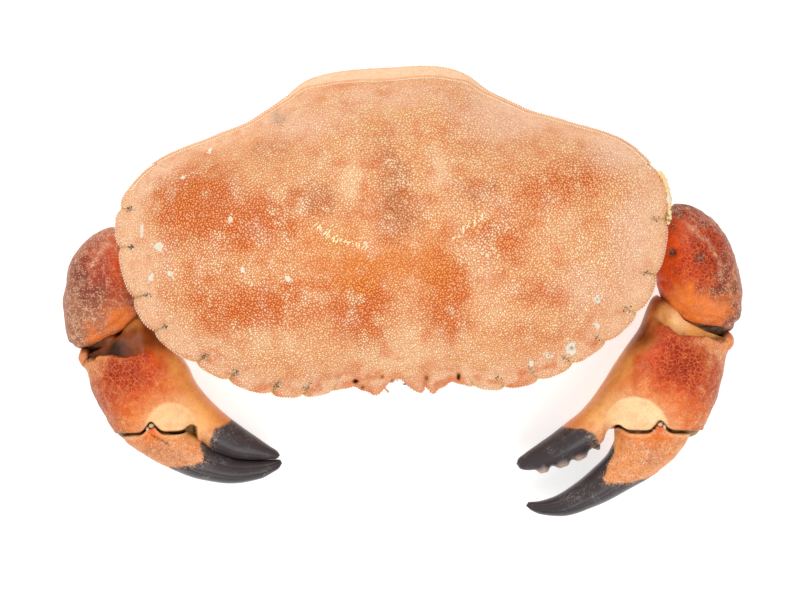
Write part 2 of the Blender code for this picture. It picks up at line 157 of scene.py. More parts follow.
# Colour zones of the shell, laid one over another: tone, strength, and ovals of x, y, half
# width, half length and share.
SHELL_ZONES = (
    ("pink", 0.9, ((-25, 32, 16, 6, 0.8), (0, 40, 22, 4, 0.8), (33, 31, 18, 8, 0.9), (66, 20, 12, 6, 0.9),
                   (70, -5, 8, 16, 0.8), (56, -20, 10, 8, 0.8), (-67, -6, 6, 10, 0.6),
                   (-66, 20, 7, 4, 0.8))),
    ("rust", 0.9, ((-56, 11, 15, 13, 1), (-42, 3, 18, 9, 1), (-40, -21, 18, 9, 1), (-10, -22, 12, 12, 1),
                   (15, -20, 8, 14, 1), (30, -4, 12, 8, 0.8), (54, 12, 12, 10, 0.7),
                   (42, -21, 13, 7, 0.6), (38, 9, 10, 7, 0.6), (-60, -16, 10, 8, 0.5),
                   (38, -33, 12, 4, 0.5), (-20, -42, 12, 3, 0.4))),
    ("orange", 0.8, ((-9, -11, 15, 9, 1), (12, -12, 10, 11, 0.8), (-20, -1, 10, 7, 0.5),
                     (0, 5, 10, 6, 0.4), (-60, 12, 10, 8, 0.5))),
    ("dusky", 0.6, ((1, 13, 6, 10, 0.9), (1, 3, 7, 7, 0.8), (-22, 9, 10, 7, 0.7), (-37, 25, 10, 5, 0.5),
                     (24, 9, 9, 7, 0.6), (25, 22, 9, 4, 0.4), (-1, 27, 8, 5, 0.4))),
    ("pale", 0.8, ((-11, 15, 4, 8, 0.9), (13, 17, 4, 9, 0.8), (-40, -31, 17, 5, 0.7), (1, -37, 18, 5, 0.8),
                   (3, -27, 4, 8, 0.6), (28, -22, 4, 10, 0.6), (23, -9, 3, 8, 0.6), (47, -2, 6, 8, 0.5),
                   (-56, -3, 9, 3, 0.4))),
    ("yellow", 0.6, ((-17, -1, 5, 5, 0.6), (22, 1, 5, 4, 0.6), (0, 32, 10, 6, 0.5), (-4, -43, 14, 3, 0.5))),
    ("blush", 0.6, ((0, 41, 3, 2, 0.8), (-13, 44, 4, 2, 0.6), (22, 35, 3, 2, 0.6), (76, 12, 3, 6, 0.6))),
    ("smudge", 0.8, ((-33, 35, 3, 2, 1),)),
)
# Rows of short dashes where the muscles hold the shell: x, y of both ends.
MUSCLE_SCARS = ((-22, 2, -16, -3), (-15, -3, -8, -5), (18, -3, 26, 2))
SCAR_DASHES = 9
SCAR_BEAD = 0.3
# Chalky spots and tube scars: x, y, radius, stretch along Y.
CHALK_SPOTS = ((-53, 26, 0.7, 1), (-61, 18, 0.6, 1), (-47, 5, 0.7, 1.2), (-69, -2, 1.3, 1.1),
               (-66, -10, 0.9, 1), (-72, -11, 0.8, 1.3), (-44, -10, 0.8, 1), (-31, -13, 0.9, 1),
               (-8, -4, 0.6, 1), (27, -9, 0.6, 1), (59, -23, 1, 1), (59, -31, 0.7, 1.4),
               (51, -37, 1.5, 1.3), (44, -39, 0.8, 1), (39, -41, 0.9, 1.2), (-74, 3, 0.6, 3.4))
# A spot from its middle outwards, as share of its radius and height.
SPOT_PROFILE = ((0.25, 0.10), (0.5, 0.20), (0.72, 0.30), (0.9, 0.22), (1.0, 0.04), (0.9, -0.3))
# Sand caught in the sutures: grains in each on both sides, its distance from the edge, length.
SAND_GRAINS = {"left": 22, "right": 11}
SAND_INSET = 4.0
SAND_LENGTH = 3.0
# Crust of old tubes on the edge above the open claw: its first and last angle, its radii.
CRUST_ANGLES = (279.6, 269.3)
CRUST_RADII = (0.9, 1.0, 1.1, 1.0, 1.1, 0.9, 1.5, 1.2, 0.8, 1.1, 1.2, 0.8)
WHITE_TUBES = (6, 7)
GREEN_TUBES = (9, 10, 11)


# ---- claws: ladders of inner edge x, y, outer edge x, y, lowest and highest z ----
BLUNTNESS = 2.0            # how much steeper a ladder's profile is at its ends
TOUCHING = 0.02            # how close to the table the lowest points are
# The rings and columns of each ladder's mesh, and how square its sections are.
GRIDS = {"arm": (90, 80, 0.85), "wrist": (170, 130, 0.85), "palm": (240, 190, 0.9),
         "finger": (190, 140, 0.88), "leg": (56, 40, 0.85)}
ARM = ((37.0, -16.0, 37.0, -16.0, 7.0, 9.0), (37.8, -22.0, 37.8, -10.0, 1.0, 15.0),
       (52.0, -20.5, 50.0, -6.4, 0.0, 15.6), (68.0, -16.5, 66.0, -2.4, 0.0, 15.4),
       (75.4, -12.5, 74.4, -2.6, 1.5, 14.0), (76.4, -7.5, 76.4, -7.5, 7.0, 9.0))
WRIST = {
    "left": ((-78.5, -4.0, -78.5, -4.0, 9.0, 11.0), (-77.6, -12.0, -84.5, 5.0, 1.5, 20.0),
             (-77.4, -20.4, -94.0, 0.0, 0.0, 23.0), (-81.2, -25.4, -99.4, -10.5, 0.0, 24.0),
             (-86.5, -28.2, -100.5, -21.0, 1.0, 22.5), (-92.0, -30.2, -99.2, -28.6, 3.0, 19.0),
             (-96.0, -31.2, -96.0, -31.2, 10.0, 12.0)),
    "right": ((78.5, -4.0, 78.5, -4.0, 9.0, 11.0), (78.4, -12.0, 86.0, 4.8, 1.5, 20.0),
              (79.4, -21.0, 95.8, 0.2, 0.0, 23.5), (82.2, -26.8, 102.8, -12.0, 0.0, 25.0),
              (87.6, -31.6, 104.2, -22.0, 1.0, 23.5), (94.5, -33.2, 103.8, -30.0, 3.0, 20.0),
              (100.4, -34.2, 100.4, -34.2, 10.0, 12.0)),
}
PALM = {
    "left": ((-87.0, -30.9, -87.0, -30.9, 8.0, 10.0), (-80.2, -24.0, -96.6, -34.0, 2.0, 17.5),
             (-77.2, -20.6, -94.4, -38.6, 0.0, 19.5), (-71.6, -28.0, -92.8, -43.8, 0.0, 22.0),
             (-66.8, -33.2, -90.0, -50.4, 0.0, 22.5), (-63.8, -37.6, -84.4, -58.8, 0.0, 21.5),
             (-61.8, -42.4, -76.8, -60.4, 0.0, 20.5), (-59.2, -46.4, -67.8, -60.0, 0.5, 18.5),
             (-55.6, -50.6, -62.0, -60.6, 1.0, 16.5), (-50.2, -55.6, -57.2, -64.4, 1.5, 14.5),
             (-43.8, -60.6, -48.6, -67.0, 2.5, 12.5), (-40.2, -63.3, -42.0, -67.4, 3.8, 10.4),
             (-38.2, -64.7, -38.8, -67.4, 4.8, 9.0), (-37.5, -65.6, -37.8, -67.0, 5.6, 8.2),
             (-37.2, -66.3, -37.2, -66.3, 6.4, 7.4)),
    "right": ((90.0, -34.2, 90.0, -34.2, 8.0, 10.0), (82.6, -27.2, 101.4, -36.8, 2.0, 18.0),
              (79.0, -22.6, 99.4, -42.0, 0.0, 20.5), (72.8, -32.6, 97.4, -49.0, 0.0, 23.5),
              (68.2, -38.6, 94.6, -56.4, 0.0, 24.0), (64.2, -44.2, 88.5, -65.4, 0.0, 23.0),
              (61.4, -48.4, 81.6, -66.6, 0.0, 22.0), (58.6, -52.2, 71.2, -65.2, 0.5, 19.5),
              (54.4, -56.8, 63.2, -62.4, 1.0, 17.0), (51.2, -59.2, 60.4, -66.2, 1.5, 16.5),
              (45.4, -63.4, 51.4, -71.0, 2.0, 14.5), (39.6, -67.2, 42.4, -73.6, 3.5, 11.5),
              (36.6, -69.2, 37.9, -74.1, 4.4, 9.8), (34.9, -70.5, 35.5, -73.6, 5.2, 8.8),
              (34.3, -72.0, 34.3, -72.0, 6.4, 7.2)),
}
FINGER = {
    "left": ((-77.0, -54.4, -77.0, -54.4, 8.0, 10.0), (-68.0, -55.4, -84.4, -57.6, 1.0, 19.0),
             (-64.0, -57.4, -80.0, -63.0, 0.0, 19.5), (-60.6, -60.2, -71.6, -68.2, 0.5, 17.0),
             (-55.6, -64.2, -62.0, -72.4, 1.0, 14.0), (-48.6, -66.9, -51.4, -74.2, 2.0, 11.5),
             (-42.6, -67.4, -43.8, -73.2, 3.2, 10.0), (-39.0, -67.4, -39.6, -71.4, 4.3, 8.9),
             (-37.3, -67.6, -37.7, -70.2, 5.2, 8.0), (-36.7, -68.7, -36.7, -68.7, 6.2, 7.0)),
    "right": ((77.0, -59.0, 77.0, -59.0, 8.0, 10.0), (64.2, -60.6, 87.2, -64.0, 1.0, 20.0),
              (64.2, -64.8, 82.4, -71.4, 0.0, 20.5), (62.4, -69.4, 76.6, -76.6, 0.5, 18.0),
              (57.6, -74.2, 68.6, -80.8, 1.0, 16.0), (51.4, -79.0, 58.4, -85.6, 1.5, 13.5),
              (44.8, -82.6, 47.6, -88.5, 2.5, 11.0), (40.0, -83.7, 41.2, -87.7, 3.8, 9.0),
              (37.6, -83.8, 38.3, -86.4, 4.8, 7.8), (36.7, -84.9, 36.7, -84.9, 5.6, 6.6)),
}
# Roughness of the claws: height and size of their soft lumps, then of their small pimples.
LUMPS = ((0.40, 5.5), (0.16, 2.0))
PIMPLES = (0.09, 0.95)

# Claw colours. A place on a claw piece is its section, counted along its ladder, and how far
# across it is, from -1 at its inner edge to 1 at its outer one. Each zone has its tone, its
# share of veins and of specks, and its ovals: section, across, half length, half width, share.
CLAW_ZONES = {
    "arm": (("orange", 0.5, 0.4, ()), ("red", 0.9, 0.3, ((3, 0, 1.2, 1.2, 0.8),))),
    "wrist_left": (("mauve", 0.1, 1, ()), ("maroon", 0.2, 0.8, ((2.4, 0.3, 0.9, 0.7, 1),)),
                   ("red", 0.9, 0.1, ((1.9, 0.1, 0.6, 0.9, 1),)),
                   ("crimson", 0.9, 0, ((2.2, 0.35, 0.3, 0.4, 0.7),)),
                   ("flame", 0.6, 0, ((1.2, -0.2, 0.5, 0.9, 1),)),
                   ("orange", 0.1, 0.3, ((2.9, -0.8, 0.8, 0.45, 1), (4.2, -0.6, 0.7, 0.5, 0.8)))),
    "wrist_right": (("maroon", 0.2, 0.9, ()), ("mauve", 0.1, 1, ((3, 1, 1.5, 0.25, 1),)),
                    ("red", 1, 0, ((2.2, 0, 1, 0.9, 1),)),
                    ("crimson", 0.9, 0, ((2.4, 0.35, 0.8, 0.4, 0.9),)),
                    ("flame", 0.7, 0, ((1.3, -0.3, 0.6, 0.8, 1), (2.2, -0.9, 0.6, 0.4, 0.8))),
                    ("orange", 0.1, 0.2, ((3.1, -0.8, 0.8, 0.6, 1), (4.2, -0.3, 0.8, 1, 1)))),
    "palm": (("peach", 0.1, 0.9, ()), ("mauve", 0.1, 1, ((4, 1, 1.6, 0.35, 0.9),)),
             ("orange", 0.1, 0.4, ((4.9, 0.1, 1.1, 1, 1),)),
             ("red", 1, 0.1, ((3.4, 0.1, 1.2, 0.9, 1), (3.3, -0.4, 1, 0.4, 1))),
             ("crimson", 1, 0, ((3.2, 0.1, 0.9, 0.7, 0.8),)),
             ("flame", 0.6, 0, ((4.3, 0.3, 0.4, 0.6, 0.25), (3.6, -0.6, 0.5, 0.25, 0.5))),
             ("tan", 0, 0, ((4.5, -1, 2.5, 0.3, 1), (7.4, 0, 1.2, 1.2, 1))),
             ("umber", 0, 0, ((3, -0.95, 0.9, 0.3, 0.8),))),
    # The necks' dark ovals are painted shade, in the slit under each wrist's overhanging flange.
    "neck_left": (("umber", 0, 0.1, ()), ("tan", 0, 0.1, ((2, -0.8, 0.5, 0.3, 0.6),)),
                  ("dark", 0, 0, ((2.3, 0.1, 0.5, 0.4, 1), (1.7, 0.8, 0.5, 0.4, 1)))),
    "neck_right": (("tan", 0, 0.1, ()), ("cream", 0, 0.1, ((2.1, -0.4, 0.6, 0.4, 0.6),)),
                   ("umber", 0, 0.1, ((2.6, 0.1, 0.3, 0.4, 0.6), (2.3, -1, 0.6, 0.2, 0.6))),
                   ("dark", 0, 0, ((1.8, 0.75, 0.5, 0.4, 1),))),
    "finger": (("peach", 0, 0.9, ()), ("mauve", 0.1, 1, ((2.5, 0.4, 1, 0.6, 0.4),)),
               ("orange", 0, 0.4, ((1.4, -0.2, 0.5, 1, 0.9),)),
               ("flame", 0.1, 0.1, ((1.1, -0.1, 0.2, 0.6, 0.6),)),
               ("tan", 0, 0, ((2.5, -1, 1, 0.25, 0.9),))),
}
# How strong the reds of a claw piece are where they are duller than on the others.
DULLED = {"wrist_left": 0.5, "palm_left": 0.9}
# Borders that cross a claw piece, as how far across and section: the palm's plate begins at its
# neck border, and each black end begins at its black border.
NECK = {"left": ((-1, 3.3), (-0.2, 3), (0.25, 2.3), (1, 1.35)),
        "right": ((-1, 2.6), (-0.3, 2.6), (0.1, 2.3), (1, 1.25))}
BLACK = {"palm_left": ((-1, 8.8), (0, 8.5), (1, 8.7)), "palm_right": ((-1, 9.4), (0, 8.9), (1, 9.1)),
         "finger_left": ((-1, 3), (-0.2, 3.7), (0.3, 3.5), (1, 3.1)),
         "finger_right": ((-1, 2.5), (-0.7, 3.6), (-0.2, 4.2), (0.5, 3.9), (1, 3.3))}
# The finger's hinge: its outer knuckle and its fork in plan. The palm's edge arches over the
# peg and over the fork: distance along the hinge, height. The fork's distance is from the end.
HINGE = {"left": ((-84.5, -57), (-61.5, -57)), "right": ((87, -63.5), (63.5, -62.5))}
HINGE_GAP = 1.4
PEG_ARCH = (9.5, 3.2)
FORK_ARCH = (1.5, 1.8)
ARCH_WIDTH = 2.0
SOCKET_GAP = 0.25          # between the palm's edge and the skin inside its socket
HINGE_HEIGHT = ((60, 16), (68, 18), (76, 19), (86, 15.5))   # of the bristles, by distance in x
PEG_HEIGHT = {"left": 19.2, "right": 20.6}
# The smooth pale cap above the hinge: its middle along it, half its length, its height.
CAP = {"left": (15.5, 8, 8.5), "right": (17, 9.8, 10)}
CAP_START = (60.5, 66.0)   # the stretch of x over which the cap gains its full strength
PLATE_STEP = (75.5, 80.0)  # the stretch of x over which the plate gains its step above the neck
PLATE_HEIGHT = 1.5
SOCKET_SUNK = 1.3
FLANK = (3.0, 9.0)         # how far in from its inner edge the palm is smooth
# The crushing teeth along the open claw's outer edge: section, radius.
TEETH = ((9.2, 1.2), (9.75, 2.9), (10.35, 2.9), (11, 2.3))
TOOTH_RISE = 1.5
# A crack across the shut claw's finger: the x and y of its ends. Pits of a wrist: x, y, width.
FINGER_CRACK = ((-75, -58), (-70, -61))
WRIST_CRUST = 0.5          # how far across the row of low crusts on each wrist is
WRIST_PITS = {"left": (), "right": ((83, -10, 1.6), (91, -12, 1.5))}
# The skin in each wrist joint: centre and half sizes. It turns paler towards the middle of the
# crab, over the stretch of x in MEMBRANE_FADE. Its dark outer end is partly the skin's own colour
# and partly painted shade, in the slit under the wrist's flange.
MEMBRANES = {"left": ((-87.0, -29.9, 9.4), (9.0, 4.0, 8.4)),
             "right": ((91.0, -33.2, 9.6), (9.4, 4.0, 8.8))}
MEMBRANE_FADE = (-93.0, -86.0)
# The round knob at the outer side of each wrist joint: centre and half sizes.
KNOBS = {"left": ((-94.6, -33.9, 10.5), (2.1, 3.1, 4.6)),
         "right": ((99.3, -37.4, 11.0), (2.2, 3.0, 4.8))}

# ---- feelers, belly, tail and legs ----
FEELER_ROOT = (1.5, -42.6, 25.0)
FEELERS_APART = 2.6        # half the distance between their roots
FEELER_RADII = (0.55, 0.35)
BREAST_TOP = 16.0
BREAST_FLOOR = 4.3
BREAST_HALF = (36.0, 33.0)
BREAST_PROFILE = (         # the step down its side, its size and its height
    (0, 0.3, BREAST_TOP), (1, 0.9, BREAST_TOP), (2, 0.99, BREAST_TOP - 0.5), (3, 1.0, 14.0),
    (4, 1.0, 9.0), (5, 0.8, 6.0), (6, 0.56, BREAST_FLOOR), (7, 0.3, BREAST_FLOOR),
    (8, 0.05, BREAST_FLOOR))
CLAW_HIP = (37.0, -12.0)
TAIL_THICKNESS = 4.0
TAIL_PATH = ((45.0, 15.6, 17.0), (45.6, 10.0, 16.5), (43.0, 4.0, 16.0), (37.0, 0.0, 15.5),
             (24.0, 0.0, 13.0), (8.0, 0.0, 9.5), (-6.0, 0.0, 7.0), (-15.0, 0.0, 3.0))
TAIL_JOINTS = (0.12, 0.26, 0.42, 0.57, 0.72, 0.86)
MOUTH_HALF = (5.2, 2.2, 6.0)
MOUTH_PLACE = (5.8, -36.2, 9.4)
# The legs' hips and knees in plan, in front to back order. LIMB_PROFILE is the thickness of each
# leg piece: share of its length, share of its half sizes.
LEGS = ((36.8, -1.5, 71.0, 6.5), (36.8, 7.0, 68.0, 14.8), (35.6, 15.4, 60.5, 21.6),
        (31.6, 23.2, 47.0, 26.8))
LIMB_PROFILE = ((0.0, 0.0), (0.05, 0.72), (0.3, 1.0), (0.75, 1.0), (0.95, 0.8), (1.0, 0.0))
THIGH_HALF = (3.9, 3.6)
THIGH_HEIGHT = 12.1
SHIN_HALF = (3.4, 3.9)
SHIN_HEIGHT = 3.5
SHIN_SHARE = 0.56
TOE_HALF = (2.6, 2.6)
TOE_HEIGHT = 2.3
TOE_TIP_X = 22.5
TOE_FORWARD = 1.0
GAP = 0.35

# How many bristles the frayed front, each hinge and each lower leg piece have, and their radii.
BRISTLES = {"front": 150, "hinge": 150, "leg": 60}
BRISTLE_RADIUS = {"front": 0.09, "hinge": 0.05, "leg": 0.07}

# ---- stage ----
TABLE_HALF = 4000.0
LAMPS = (("rear_lamp", -250.0, 520.0, 620.0, 1.0), ("front_lamp", 200.0, -560.0, 560.0, 0.9))
LAMP_SIZE = (700.0, 400.0)
AIM_FROM_MIDDLE = (-0.7, -1.5)
CAMERA_HEIGHT = 1000.0
CAMERA_TURN = -2.5
SHARP_HEIGHT = 28.0
VIEW_WIDTH = 237.84
SENSOR = 36.0


def srgb(red, green, blue):
    """A display colour, 0 to 255, as linear light."""
    share = np.array((red, green, blue), float) / 255
    linear = np.where(share <= 0.04045, share / 12.92, ((share + 0.055) / 1.055) ** 2.4)
    return tuple(round(float(value), 4) for value in linear)


def colour_setting(label, about, default):
    """A colour that a user may change."""
    return bpy.props.FloatVectorProperty(
        name=label, description=about, subtype="COLOR", size=3, min=0.0, max=1.0, default=default)


def length_setting(label, about, default):
    """A length in millimetres that a user may change."""
    return bpy.props.FloatProperty(name=label, description=about, default=default, min=0.0)


class CrabShellSettings(bpy.types.PropertyGroup):
    """Sizes and colours of the top shell."""
    granule_spacing: length_setting("Granule spacing", "Distance between granules, in mm", 0.78)
    granule_radius: length_setting("Granule radius", "Radius of a granule, in mm", 0.30)
    granule_height: length_setting("Granule height", "How far a granule stands up, in mm", 0.26)
    peach: colour_setting("Peach", "Ground colour of the shell", srgb(246, 188, 138))
    rust: colour_setting("Rust", "Brown orange patches", srgb(224, 124, 56))
    orange: colour_setting("Orange", "Strong orange in front of the middle", srgb(234, 140, 54))
    dusky: colour_setting("Dusky", "Brown bands in the middle", srgb(182, 106, 60))
    pale: colour_setting("Pale", "Cream patches", srgb(252, 216, 176))
    pink: colour_setting("Pink", "Pink bloom towards the back", srgb(250, 208, 180))
    yellow: colour_setting("Yellow", "Yellow marks", srgb(246, 208, 138))
    blush: colour_setting("Blush", "Small red patches", srgb(226, 132, 92))
    smudge: colour_setting("Smudge", "Grey stain", srgb(172, 148, 136))
    margin: colour_setting("Margin", "Smooth pale margin", srgb(250, 213, 182))
    back_band: colour_setting("Back band", "Smooth band of the back edge", srgb(244, 200, 160))
    granule: colour_setting("Granule", "Tip of a pale granule", srgb(255, 230, 186))
    # Crack is also the painted shade inside the pits and in the dark centres of some chalk spots.
    crack: colour_setting("Crack", "Sutures, pits and dirt", srgb(64, 46, 32))
    chalk: colour_setting("Chalk", "Chalky spots", srgb(230, 220, 202))
    sand: colour_setting("Sand", "Dark sand in the sutures", srgb(98, 90, 62))
    underside: colour_setting("Underside", "Folded edge under the rim", srgb(238, 192, 144))


class CrabClawSettings(bpy.types.PropertyGroup):
    """Colours of the claws."""
    flame: colour_setting("Flame", "Brightest red orange", srgb(244, 90, 20))
    orange: colour_setting("Orange", "Orange ground", srgb(224, 116, 38))
    red: colour_setting("Red", "Red back of the wrist and palm", srgb(186, 50, 14))
    crimson: colour_setting("Crimson", "Deepest red", srgb(146, 34, 10))
    maroon: colour_setting("Maroon", "Dark red brown", srgb(120, 54, 38))
    mauve: colour_setting("Mauve", "Greyish outer side", srgb(166, 106, 78))
    tan: colour_setting("Tan", "Smooth inner side", srgb(238, 166, 88))
    umber: colour_setting("Umber", "Shaded inner side", srgb(136, 66, 20))
    peach: colour_setting("Peach", "Pale orange", srgb(224, 144, 84))
    cream: colour_setting("Cream", "Smooth cap above the hinge", srgb(247, 206, 154))
    vein: colour_setting("Vein", "Orange network over the red", srgb(230, 116, 52))
    speck: colour_setting("Speck", "Pale specks of the outer sides", srgb(244, 198, 162))
    black: colour_setting("Black", "Black finger ends", srgb(62, 54, 56))
    tooth: colour_setting("Tooth", "Worn crushing teeth", srgb(198, 174, 160))
    scuff: colour_setting("Scuff", "Grey scuffs on the black", srgb(140, 132, 130))
    olive: colour_setting("Olive", "Skin of the finger hinge", srgb(124, 94, 44))
    # Dark is the joints' own colour, and also painted shade in the hinge gaps and under the wrists.
    dark: colour_setting("Dark", "Joint folds and membranes", srgb(58, 32, 10))


class CrabBellySettings(bpy.types.PropertyGroup):
    """Colours of the belly, the legs and the eyes."""
    cream: colour_setting("Cream", "Breast and tail plates", srgb(246, 216, 170))
    stain: colour_setting("Stain", "Orange brown stains and grooves", srgb(208, 130, 70))
    leg: colour_setting("Leg", "Red brown of the legs", srgb(200, 100, 54))
    leg_pale: colour_setting("Pale leg", "Pale end of each leg piece", srgb(238, 178, 124))
    toe: colour_setting("Toe", "Dark tip of each toe", srgb(70, 48, 36))
    hair: colour_setting("Hair", "Bristles", srgb(120, 84, 50))
    eye: colour_setting("Eye", "Eye", srgb(26, 22, 20))


class CrabStageSettings(bpy.types.PropertyGroup):
    """The table and the light."""
    floor: colour_setting("Floor", "Pale table", srgb(190, 190, 190))
    world_light: bpy.props.FloatProperty(
        name="World light", description="Strength of the even light", default=0.62, min=0.0)
    lamp_light: bpy.props.FloatProperty(
        name="Lamp light", description="Power of each soft lamp, in watts", default=3.8, min=0.0)
    floor_glow: bpy.props.FloatProperty(
        name="Floor glow", description="Light given off by the lit table", default=0.70, min=0.0)


# ---------------------------------------------------------------- numbers

def smooth(knots, values, at, end_lean):
    """A cubic through the values that never swings past them.

    A knot's slope is the harmonic mean of the slopes beside it, or level at a turning point, and
    an end's slope is end_lean times the slope beside it.
    """
    knots = np.asarray(knots, float)
    values = np.asarray(values, float)
    if values.ndim == 1:
        return smooth(knots, values[:, None], at, end_lean)[:, 0]
    rise = np.diff(values, axis=0) / np.diff(knots)[:, None]
    before, after = rise[:-1], rise[1:]
    same_way = before * after > 0
    total = np.where(same_way, before + after, 1.0)
    inner = np.where(same_way, 2 * before * after / total, 0.0)
    slopes = np.concatenate([end_lean * rise[:1], inner, end_lean * rise[-1:]])
    place = np.clip(np.searchsorted(knots, at, side="right") - 1, 0, len(knots) - 2)
    step = (knots[place + 1] - knots[place])[:, None]
    part = np.clip((at - knots[place])[:, None] / step, 0.0, 1.0)
    start = values[place] * (2 * part ** 3 - 3 * part ** 2 + 1)
    end = values[place + 1] * (3 * part ** 2 - 2 * part ** 3)
    lean = slopes[place] * (part ** 3 - 2 * part ** 2 + part) * step
    reach = slopes[place + 1] * (part ** 3 - part ** 2) * step
    return start + end + lean + reach


def along(table, at):
    """A two column table read at any array of places."""
    knots, values = zip(*table)
    flat = np.clip(np.asarray(at, float).ravel(), knots[0], knots[-1])
    return smooth(knots, values, flat, 0.0).reshape(np.shape(at))


def ease(low, high, value):
    """0 below low, 1 above high, and a smooth step between."""
    part = np.clip((value - low) / (high - low), 0.0, 1.0)
    return part * part * (3 - 2 * part)


def bell(value, width):
    """1 at zero, falling away on both sides over width."""
    return np.exp(-(value / width) ** 2)


def hashed(cells, seed):
    """A repeatable random number from 0 to 1 for each whole-numbered cell."""
    cells = cells.astype(np.int64).astype(np.uint32)
    mixed = cells[..., 0] * np.uint32(374761393) + cells[..., 1] * np.uint32(668265263)
    mixed = mixed + cells[..., 2] * np.uint32(2246822519) + np.uint32((seed * 3266489917) % 2 ** 32)
    mixed = (mixed ^ (mixed >> np.uint32(13))) * np.uint32(1274126177)
    mixed = mixed ^ (mixed >> np.uint32(16))
    return (mixed & np.uint32(0xFFFF)).astype(float) / 0xFFFF


def noise(points, size, seed):
    """Random heights on a cubic lattice of the given size, blended smoothly, from -1 to 1."""
    scaled = points / size
    cell = np.floor(scaled)
    part = scaled - cell
    part = part * part * (3 - 2 * part)
    total = np.zeros(points.shape[:-1])
    for corner in itertools.product((0, 1), repeat=3):
        weight = np.prod(np.where(np.array(corner) == 1, part, 1 - part), axis=-1)
        total += weight * hashed(cell + np.array(corner), seed)
    return total * 2 - 1


def cloud(points, size, seed, layers=3):
    """Noise with finer and weaker layers on top, each half the size and strength of the last."""
    total = sum(noise(points, size / 2 ** layer, seed + layer) / 2 ** layer for layer in range(layers))
    return total / (2 - 2 ** (1 - layers))


def turns(count):
    """Even turns of a full circle."""
    return np.linspace(0, 2 * np.pi, count, endpoint=False)


def squarish(count, across_power, up_power):
    """Across and up of a round section at even turns. Powers below 1 make it squarer."""
    across, up = np.cos(turns(count)), np.sin(turns(count))
    return np.sign(across) * np.abs(across) ** across_power, np.sign(up) * np.abs(up) ** up_power


def outwards(angle):
    """The plan directions that point away from the middle at angles from the back."""
    return np.stack([-np.sin(np.radians(angle)), np.cos(np.radians(angle))], axis=-1)


def oval(x, y, middle_x, middle_y, half_x, half_y):
    """1 in the middle of an oval in plan, falling away over its half sizes."""
    return np.exp(-((x - middle_x) / half_x) ** 2 - ((y - middle_y) / half_y) ** 2)


def patches(points, spots, seed, wander=3.0):
    """Soft oval patches with wandering borders, overlapping without ever passing 1."""
    x = points[..., 0] + wander * cloud(points, wander * 2.6, seed)
    y = points[..., 1] + wander * cloud(points, wander * 2.6, seed + 20)
    clear = np.ones(points.shape[:-1])
    for *place, strength in spots:
        clear *= 1 - strength * oval(x, y, *place)
    return 1 - clear


def line_distance(x, y, line):
    """Distance in plan from each point to a line of straight runs."""
    nearest = np.full(np.shape(x), 1e9)
    for (start_x, start_y), (end_x, end_y) in zip(line[:-1], line[1:]):
        run_x, run_y = end_x - start_x, end_y - start_y
        part = ((x - start_x) * run_x + (y - start_y) * run_y) / (run_x ** 2 + run_y ** 2)
        part = np.clip(part, 0.0, 1.0)
        away = np.hypot(x - start_x - part * run_x, y - start_y - part * run_y)
        nearest = np.minimum(nearest, away)
    return nearest


def mix(under, over, share):
    """A colour or colours with another laid over them by a share."""
    share = np.clip(share, 0.0, 1.0)[..., None]
    return np.asarray(under, float) * (1 - share) + np.asarray(over, float) * share


# ---------------------------------------------------------------- meshes

def skin(rings, first_pole, last_pole):
    """Rings of points closed into one surface, with a fan of triangles round each pole."""
    ring_count, columns = rings.shape[:2]
    points = np.concatenate([rings.reshape(-1, 3), [first_pole, last_pole]])
    first = len(points) - 2
    here = np.arange(columns)
    ahead = (here + 1) % columns
    start = np.arange(ring_count - 1)[:, None] * columns
    quads = np.stack([start + here, start + ahead, start + columns + ahead, start + columns + here], axis=-1)
    last = (ring_count - 1) * columns
    fans = [np.stack([np.full(columns, first), ahead, here], axis=-1),
            np.stack([np.full(columns, first + 1), last + here, last + ahead], axis=-1)]
    faces = [quads.reshape(-1, 4), np.concatenate(fans)]
    return points, outward(points, faces)


def outward(points, faces):
    """The same faces, turned over if together they enclose a negative volume."""
    volume = 0.0
    for group in faces:
        for corner in range(1, group.shape[1] - 1):
            one, two, three = (points[group[:, index]] for index in (0, corner, corner + 1))
            volume += np.einsum("ij,ij->", one, np.cross(two, three))
    return faces if volume > 0 else [group[:, ::-1] for group in faces]


def joined(parts):
    """Several surfaces as one set of points and faces."""
    points, faces, offset = [], [], 0
    for part_points, part_faces in parts:
        points.append(part_points)
        faces.extend(group + offset for group in part_faces)
        offset += len(part_points)
    return np.concatenate(points), faces


def ring_normals(rings):
    """Unit normals of a closed grid: the cross product of its two directions, facing outwards."""
    around = np.roll(rings, -1, axis=1) - np.roll(rings, 1, axis=1)
    onward = np.gradient(rings, axis=0)
    normals = np.cross(around, onward)
    normals /= np.linalg.norm(normals, axis=-1, keepdims=True) + 1e-9
    outside = rings - rings.mean(axis=1, keepdims=True)
    return normals if np.sum(normals * outside) > 0 else -normals


def with_poles(grid, columns):
    """Values on a ring grid as one value a point, each pole taking the mean of its ring."""
    full = np.broadcast_to(grid, (grid.shape[0], columns) + grid.shape[2:])
    flat = full.reshape((-1,) + grid.shape[2:])
    return np.concatenate([flat, full[:1].mean(axis=1), full[-1:].mean(axis=1)])


def add_piece(name, surface, finish, nodes=(), tint=None, masks=None):
    """A mesh object from points in millimetres, with its colours and masks as attributes."""
    points, faces = surface
    mesh = bpy.data.meshes.new(name)
    rows = [row for group in faces for row in group.tolist()]
    mesh.from_pydata((points * MM).tolist(), [], rows)
    mesh.shade_smooth()
    if tint is not None:
        layer = mesh.attributes.new("tint", "FLOAT_COLOR", "POINT")
        full = np.column_stack([np.clip(tint, 0.0, 1.0), np.ones(len(tint))])
        layer.data.foreach_set("color", full.astype(np.float32).ravel())
    for label, values in (masks or {}).items():
        layer = mesh.attributes.new(label, "FLOAT", "POINT")
        layer.data.foreach_set("value", np.clip(values, 0.0, 1.0).astype(np.float32))
    mesh.materials.append(finish)
    piece = bpy.data.objects.new(name, mesh)
    bpy.context.scene.collection.objects.link(piece)
    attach(piece, BODY)
    if nodes:
        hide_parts(*nodes)
    return piece


